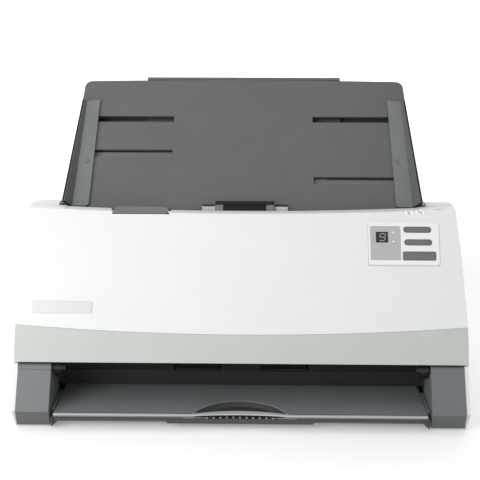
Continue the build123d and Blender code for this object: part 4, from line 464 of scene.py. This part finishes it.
def raised(mesh, seat, outline, low, high, edge=0.0):
    """A raised flat shape on a seat, its top edge cut back a little."""
    middle = [sum(p[k] for p in outline) / len(outline) for k in (0, 1)]

    def loop(w, cut):
        points = []
        for u, v in outline:
            du, dv = u - middle[0], v - middle[1]
            share = 1 - cut / (math.hypot(du, dv) or 1.0)
            points.append(mesh.verts.new(seat.at(middle[0] + du * share,
                                                 middle[1] + dv * share, w)))
        return points

    loops = [loop(low, 0.0), loop(high - edge, 0.0)]
    if edge:
        loops.append(loop(high, edge))
    for a, b in zip(loops, loops[1:]):
        for k in range(len(a)):
            j = (k + 1) % len(a)
            mesh.faces.new((a[k], a[j], b[j], b[k]))
    mesh.faces.new(loops[-1])
    mesh.faces.new(list(reversed(loops[0])))


def rounded(width, height, radius, count=5):
    """Outline of a rounded rectangle about the origin."""
    points = []
    for k, (sx, sy) in enumerate(((1, 1), (-1, 1), (-1, -1), (1, -1))):
        for j in range(count + 1):
            turn = math.pi / 2 * (k + j / count)
            points.append((sx * (width / 2 - radius) + radius * math.cos(turn),
                           sy * (height / 2 - radius) + radius * math.sin(turn)))
    return points


def moved(outline, du, dv, turn=0.0):
    """An outline turned and shifted."""
    c, s = math.cos(turn), math.sin(turn)
    return [(u * c - v * s + du, u * s + v * c + dv) for u, v in outline]


def turned(mesh, seat, profile, count=24):
    """A round shape turned about the seat's outward axis from (radius, height) points."""
    rings = []
    for radius, height in profile:
        if radius == 0:
            rings.append([mesh.verts.new(seat.at(0.0, 0.0, height))])
            continue
        turns = [2 * math.pi * k / count for k in range(count)]
        rings.append([mesh.verts.new(seat.at(radius * math.cos(t), radius * math.sin(t), height))
                      for t in turns])
    for a, b in zip(rings, rings[1:]):
        for k in range(count):
            j = (k + 1) % count
            if len(b) == 1:
                mesh.faces.new((a[k], a[j], b[0]))
            elif len(a) == 1:
                mesh.faces.new((a[0], b[j], b[k]))
            else:
                mesh.faces.new((a[k], a[j], b[j], b[k]))


def ribbon(mesh, sections, closed=False):
    """A skin through matching cross-sections, with flat ends."""
    loops = [[mesh.verts.new(p) for p in section] for section in sections]
    following = loops[1:] + loops[:1] if closed else loops[1:]
    for a, b in zip(loops, following):
        for k in range(len(a)):
            j = (k + 1) % len(a)
            mesh.faces.new((a[k], a[j], b[j], b[k]))
    if not closed:
        mesh.faces.new(loops[0])
        mesh.faces.new(list(reversed(loops[-1])))


# Details of the front panel

def display_digit():
    """Seven-bar digit behind the display window, with the lower left bar unlit."""
    seat = Seat("display_window", (DISPLAY_X, -32.3, 126.3), FRONT)
    wide, tall, thick, lean, shift, lift = 3.9, 2.45, 0.5, 0.12, 0.3, 0.05
    upright = math.radians(90 - 7)
    mesh = bmesh.new()
    for dv in (tall, 0.0, -tall):
        bar = rounded(wide - 0.5, thick, thick / 2 - 0.01, 2)
        raised(mesh, seat, moved(bar, lean * dv + shift, dv), 0.0, lift)
    for du, dv in ((-wide / 2, tall / 2), (wide / 2, tall / 2), (wide / 2, -tall / 2)):
        bar = rounded(tall - 0.5, thick, thick / 2 - 0.01, 2)
        raised(mesh, seat, moved(bar, du + lean * dv + shift, dv, upright), 0.0, lift)
    made("display_digit", mesh, "digit_pale", "cover", False)


def panel_lamps():
    """Two small domed lenses in the label."""
    dome = [(0, 0.02), (0.74, 0.02), (0.74, 0.55), (0.62, 0.72), (0.36, 0.83), (0, 0.87)]
    for name, y, z in (("lamp_upper", -30.2, 129.3), ("lamp_lower", -33.4, 123.4)):
        mesh = bmesh.new()
        turned(mesh, Seat("cover_shell", (LAMP_X, y, z), FRONT), dome)
        made(name, mesh, "lens_white", "cover")


def panel_seam_shadow():
    """Thin dark joint line round the surround, following the curved front; partly the real joint,
    partly a painted shadow along the surround's raised edge.
    """
    seat = Seat("cover_shell", (115.2, -35.0, 122.0), FRONT)
    loop = rounded(SEAM_WIDTH, SEAM_HEIGHT, 1.2, 4)
    path = []
    for a, b in zip(loop, loop[1:] + loop[:1]):
        steps = max(1, int(math.dist(a, b) / SEAM_STEP))
        path += [(a[0] + (b[0] - a[0]) * k / steps, a[1] + (b[1] - a[1]) * k / steps)
                 for k in range(steps)]
    sections = []
    for u, v in path:
        section = []
        for grow, lift in ((0.02, 0.02), (0.2, 0.02), (0.2, 0.05), (0.02, 0.07)):
            start = seat.at(u * (1 + 2 * grow / SEAM_WIDTH), v * (1 + 2 * grow / SEAM_HEIGHT), 8)
            hit = seat.tree.ray_cast(start * MM, -seat.z)
            section.append(hit[0] / MM + seat.z * lift)
        sections.append(section)
    mesh = bmesh.new()
    ribbon(mesh, sections, True)
    made("panel_seam_shadow", mesh, "joint_and_shade_dark", "cover", False)


def page_ink():
    """Outlines of a plain page with a cut corner and one line on it."""
    page = [(-0.9, -1.1), (0.95, -1.1), (0.95, 0.55), (0.4, 1.1), (-0.9, 1.1)]
    inner = [(-0.5, -0.7), (0.55, -0.7), (0.55, 0.35), (0.2, 0.7), (-0.5, 0.7)]
    sides = [[page[k], page[k - 4], inner[k - 4], inner[k]] for k in range(5)]
    return sides + [moved(rounded(0.8, 0.3, 0.1, 2), 0.0, -0.15)]


def stack_ink():
    """Outlines of a card beside a pointer and a short line."""
    return [moved(rounded(1.1, 1.3, 0.2, 2), 0.75, -0.25),
            [(-1.75, 0.95), (-0.2, 0.95), (-0.97, -0.2)],
            moved(rounded(0.9, 0.3, 0.1, 2), -0.97, -0.75)]


def paper_marks():
    """Two pale tabs by the mouth with plain page marks."""
    for name, place, shapes in (("page_mark_left", (119.5, -22.9, 141.7), page_ink()),
                                ("page_mark_right", (127.4, -22.5, 142.3), stack_ink())):
        seat = Seat("cover_shell", place, (0, -0.857, 0.515))
        mesh = bmesh.new()
        raised(mesh, seat, rounded(5.6, 3.6, 0.9), -0.1, 0.09, 0.04)
        made(name, mesh, "tab_white", "cover", False)
        mesh = bmesh.new()
        for shape in shapes:
            raised(mesh, seat, shape, 0.09, 0.13)
        made(name + "_ink", mesh, "ink_grey", "cover", False)


def shoulder_slit_shade():
    """Short dark mark in the top of the right shoulder, painted shade of the slot where the cover
    meets the shoulder.
    """
    seat = Seat("cover_shell", (142.1, -20.0, 143.8), (0, 0, 1))
    mesh = bmesh.new()
    raised(mesh, seat, rounded(8.4, 0.55, 0.25, 3), -0.1, 0.05)
    made("shoulder_slit_shade", mesh, "joint_and_shade_dark", "cover", False)


# Details of the mouth and chute

def flap_combs():
    """Toothed dark edges along the tops of the two film flaps."""
    count, top, valley, tip, lean = 7, 144.95, 144.3, 143.5, 0.46
    for name, start, end in (("flap_comb_left", -28.8, -19.6), ("flap_comb_right", 24.0, 33.2)):
        mesh = bmesh.new()
        pitch = (end - start) / count
        for k in range(count):
            x0 = start + pitch * k
            tooth = [(x0, top), (x0 + pitch, top), (x0 + pitch, valley), (x0 + pitch / 2, tip),
                     (x0, valley)]
            ribbon(mesh, [[(x, y + (z - tip) * lean, z) for x, z in tooth]
                          for y in (-14.45, -14.05)])
        made(name, mesh, "black_and_painted_shade", "pad", False)


def chute_point(x, t, n):
    """A point in the chute's frame: across, up the chute and out from its face."""
    return Vector((x, CHUTE_FOOT[0] + t * math.sin(CHUTE_LEAN) - n * math.cos(CHUTE_LEAN),
                   CHUTE_FOOT[1] + t * math.cos(CHUTE_LEAN) + n * math.sin(CHUTE_LEAN)))


def fence_strip(mesh, side, ends, outline):
    """A strip along a guide's fence, from its foot to its top."""
    ribbon(mesh, [[chute_point(side * x, t, n) for x, n in outline(base, top, height)]
                  for t, base, top, height in ends])


def fence_dark_strips():
    """Black strip on the outer side and top of each guide's fence, and its shaded inner face."""
    for tail, side, body in (("right", 1, "guide_right"), ("left", -1, "guide_left")):
        # A plain black strip along the outer side and top of the fence and across its foot
        mesh = bmesh.new()
        fence_strip(mesh, side, ((-0.75, 124.2, 128.8, 9.0), (91.0, 120.6, 122.0, 4.0)),
                    lambda base, top, height: [
                        (top + 0.4, height + 0.12), (top + 1.65, height + 0.12),
                        (base + 2.75, 1.95), (base + 2.5, 1.95),
                        (top + 1.4, height), (top + 0.4, height)])
        foot = [(128.0, 9.12), (130.45, 9.12), (126.95, 1.95), (125.4, 1.95)]
        ribbon(mesh, [[chute_point(side * x, t, n) for x, n in foot] for t in (-0.95, -0.52)])
        made("fence_dark_strip_" + tail, mesh, "black_and_painted_shade", body, False)
        mesh = bmesh.new()
        fence_strip(mesh, side, ((-0.55, 124.2, 128.8, 9.0), (91.05, 120.6, 122.0, 4.0)),
                    lambda base, top, height: [
                        (base - 0.1, 1.95), (top - 0.08, height + 0.05),
                        (top + 0.4, height + 0.05), (top + 0.4, height - 0.1),
                        (top + 0.05, height - 0.1), (base + 0.1, 1.9)])
        made("fence_face_" + tail, mesh, "fence_shade", body, False)


# Details of the back and the floor of the housing

def screws():
    """Cross-head screws in the back and under the floor, each on a black disc that paints the
    shade of a shallow well, with a black cross painting the shade of the cross recess.
    """
    places = [("rear_shell", (x, BACK_Y, 60), (0, 1, 0), "shell_white") for x in (-121, 121)]
    places += [("base_pan", (x, y, 2.2), (0, 0, -1), "block_grey")
               for x in (-122, 122) for y in (-40, 44)]
    well = [(0, -0.3), (3.6, -0.3), (3.6, 0.02), (3.3, 0.14), (2.9, 0.06), (0, 0.05)]
    head = [(0, 0.0), (2.5, 0.0), (2.5, 0.35), (2.2, 0.62), (1.4, 0.8), (0, 0.84)]
    for number, (node, place, outward, slot) in enumerate(places):
        seat = Seat(node, place, outward)
        mesh = bmesh.new()
        turned(mesh, seat, well)
        made(f"screw_well_shade_{number}", mesh, "black_and_painted_shade", "base")
        mesh = bmesh.new()
        turned(mesh, seat, head)
        made(f"screw_head_{number}", mesh, "steel", "base")
        mesh = bmesh.new()
        for turn in (0.3, 0.3 + math.pi / 2):
            raised(mesh, seat, moved(rounded(2.7, 0.5, 0.2, 2), 0, 0, turn), 0.5, 0.87)
        made(f"screw_cross_shade_{number}", mesh, "black_and_painted_shade", "base", False)


def vent_shade_sheet():
    """Pleated dark sheet behind the slots in the back, so that no light falls through; its black
    paints the shade of the housing's inside.
    """
    middle, pleat, count, face, fold, thick = 40, 3.25, 27, BACK_Y - 2.5, 0.7, 0.5
    low, high = 32.0, 64.0
    sections = []
    for k in range(count):
        x = middle + (k - count // 2) * pleat
        y = face - fold * (k % 2)
        sections.append([(x, y, low), (x, y, high), (x, y - thick, high), (x, y - thick, low)])
    mesh = bmesh.new()
    ribbon(mesh, sections)
    made("vent_shade_sheet", mesh, "black_and_painted_shade", "base", False)


# Details of the output tray

def strip_shadow_line():
    """Dark line of painted shadow along the joint between the bright strip and the tray behind
    it.
    """
    back = {}
    for vertex in NODES["tray_strip"].data.vertices:
        p = vertex.co / MM
        if p.z > TRAY_TOP - 0.1:
            x = round(p.x, 1)
            back[x] = max(back.get(x, -100), p.y)
    line = [(x, back[x]) for x in sorted(back)]
    for name, side in (("strip_joint_shadow_left", -1), ("strip_joint_shadow_right", 1)):
        run = [p for p in line if p[0] * side > SCOOP_HALF + 0.1]
        run = [p for k, p in enumerate(run) if k == 0 or p[0] - run[k - 1][0] > 0.2]
        inner = ((SCOOP_HALF + 0.2) * side, -83.2)
        run = [inner] + run if side > 0 else run + [inner]
        mesh = bmesh.new()
        ribbon(mesh, [[(x, y - 0.02, TRAY_TOP - 0.04), (x, y + 0.6, TRAY_TOP - 0.04),
                       (x, y + 0.6, TRAY_TOP + 0.03), (x, y - 0.02, TRAY_TOP + 0.05)]
                      for x, y in run])
        made(name, mesh, "black_and_painted_shade", "tray", False)


def grip_face(x):
    """Where the curved face of the grip stands, under the strip."""
    return GRIP_FACE_Y - x * x * SCOOP_DEPTH / SCOOP_HALF ** 2


def grip_painted_light():
    """Lighter faces on the grip's ribs as a painted highlight, and a painted shadow behind them.
    """
    mesh = bmesh.new()
    front = ((8.7, -0.62), (8.7, 0.62), (9.7, 0.5), (9.7, -0.5))
    back = ((8.7, -0.72), (8.7, 0.72), (9.84, 0.72), (9.84, -0.72))
    for k in range(RIB_COUNT):
        x = (k - RIB_COUNT // 2) * RIB_PITCH
        y = grip_face(x) - RIB_DEPTH
        ribbon(mesh, [[(x + a, y + forth, z) for z, a in shape]
                      for forth, shape in ((-0.12, front), (0.25, back))])
    made("grip_rib_highlights", mesh, "painted_highlight_grey", "tray", False)
    count, pitch, top = 25, 2.5, 9.95
    sections = []
    for k in range(count):
        x = (k - count // 2) * pitch
        y = grip_face(x)
        low = 9.9 - 1.6 * (1 - (x / 31.0) ** 2)
        sections.append([(x, y - 0.12, low), (x, y + 0.05, low), (x, y + 0.05, top),
                         (x, y - 0.12, top)])
    mesh = bmesh.new()
    ribbon(mesh, sections)
    made("grip_shade", mesh, "black_and_painted_shade", "tray", False)


def in_scoop(face):
    """Whether a face of the tray lies in the finger scoop."""
    c = face.center / MM
    near = abs(c.x) < 36 and -86 < c.y < -61 and 9.0 < c.z < TRAY_TOP - 0.04
    ledge = c.z < 9.79 and face.normal.z > 0.9 and c.y < -82.5
    return near and face.normal.z > 0.15 and not ledge


def scoop_painted_light():
    """Painted shade in the finger scoop, a darker copy of its faces, and a painted highlight
    along its rim.
    """
    source = NODES["output_tray"].data
    mesh = bmesh.new()
    rim = {}
    for face in filter(in_scoop, source.polygons):
        points = []
        for index in face.vertices:
            p = source.vertices[index].co / MM
            if abs(p.z - TRAY_TOP) < 0.02:
                rim[round(p.x, 2)] = p
            points.append(mesh.verts.new(p + face.normal * 0.04))
        mesh.faces.new(points)
    made("scoop_painted_light", mesh, "scoop_shade_dark", "tray")
    # Painted highlight: a light grey bead along the scoop's top edge
    line = [rim[x] for x in sorted(rim)]
    section = ((-0.35, -0.05), (-0.3, 0.13), (0.15, 0.16), (0.3, -0.05))
    sections = []
    for k, p in enumerate(line):
        ahead = (line[min(k + 1, len(line) - 1)] - line[max(k - 1, 0)]).normalized()
        side = ahead.cross(Vector((0, 0, 1)))
        sections.append([p + side * a + Vector((0, 0, b)) for a, b in section])
    mesh = bmesh.new()
    ribbon(mesh, sections)
    made("scoop_rim_highlight", mesh, "painted_highlight_grey", "tray")


add_camera()
add_light()
add_floor()
dress_nodes()
display_digit()
panel_lamps()
panel_seam_shadow()
paper_marks()
shoulder_slit_shade()
flap_combs()
fence_dark_strips()
screws()
strip_shadow_line()
grip_painted_light()
vent_shade_sheet()
scoop_painted_light()
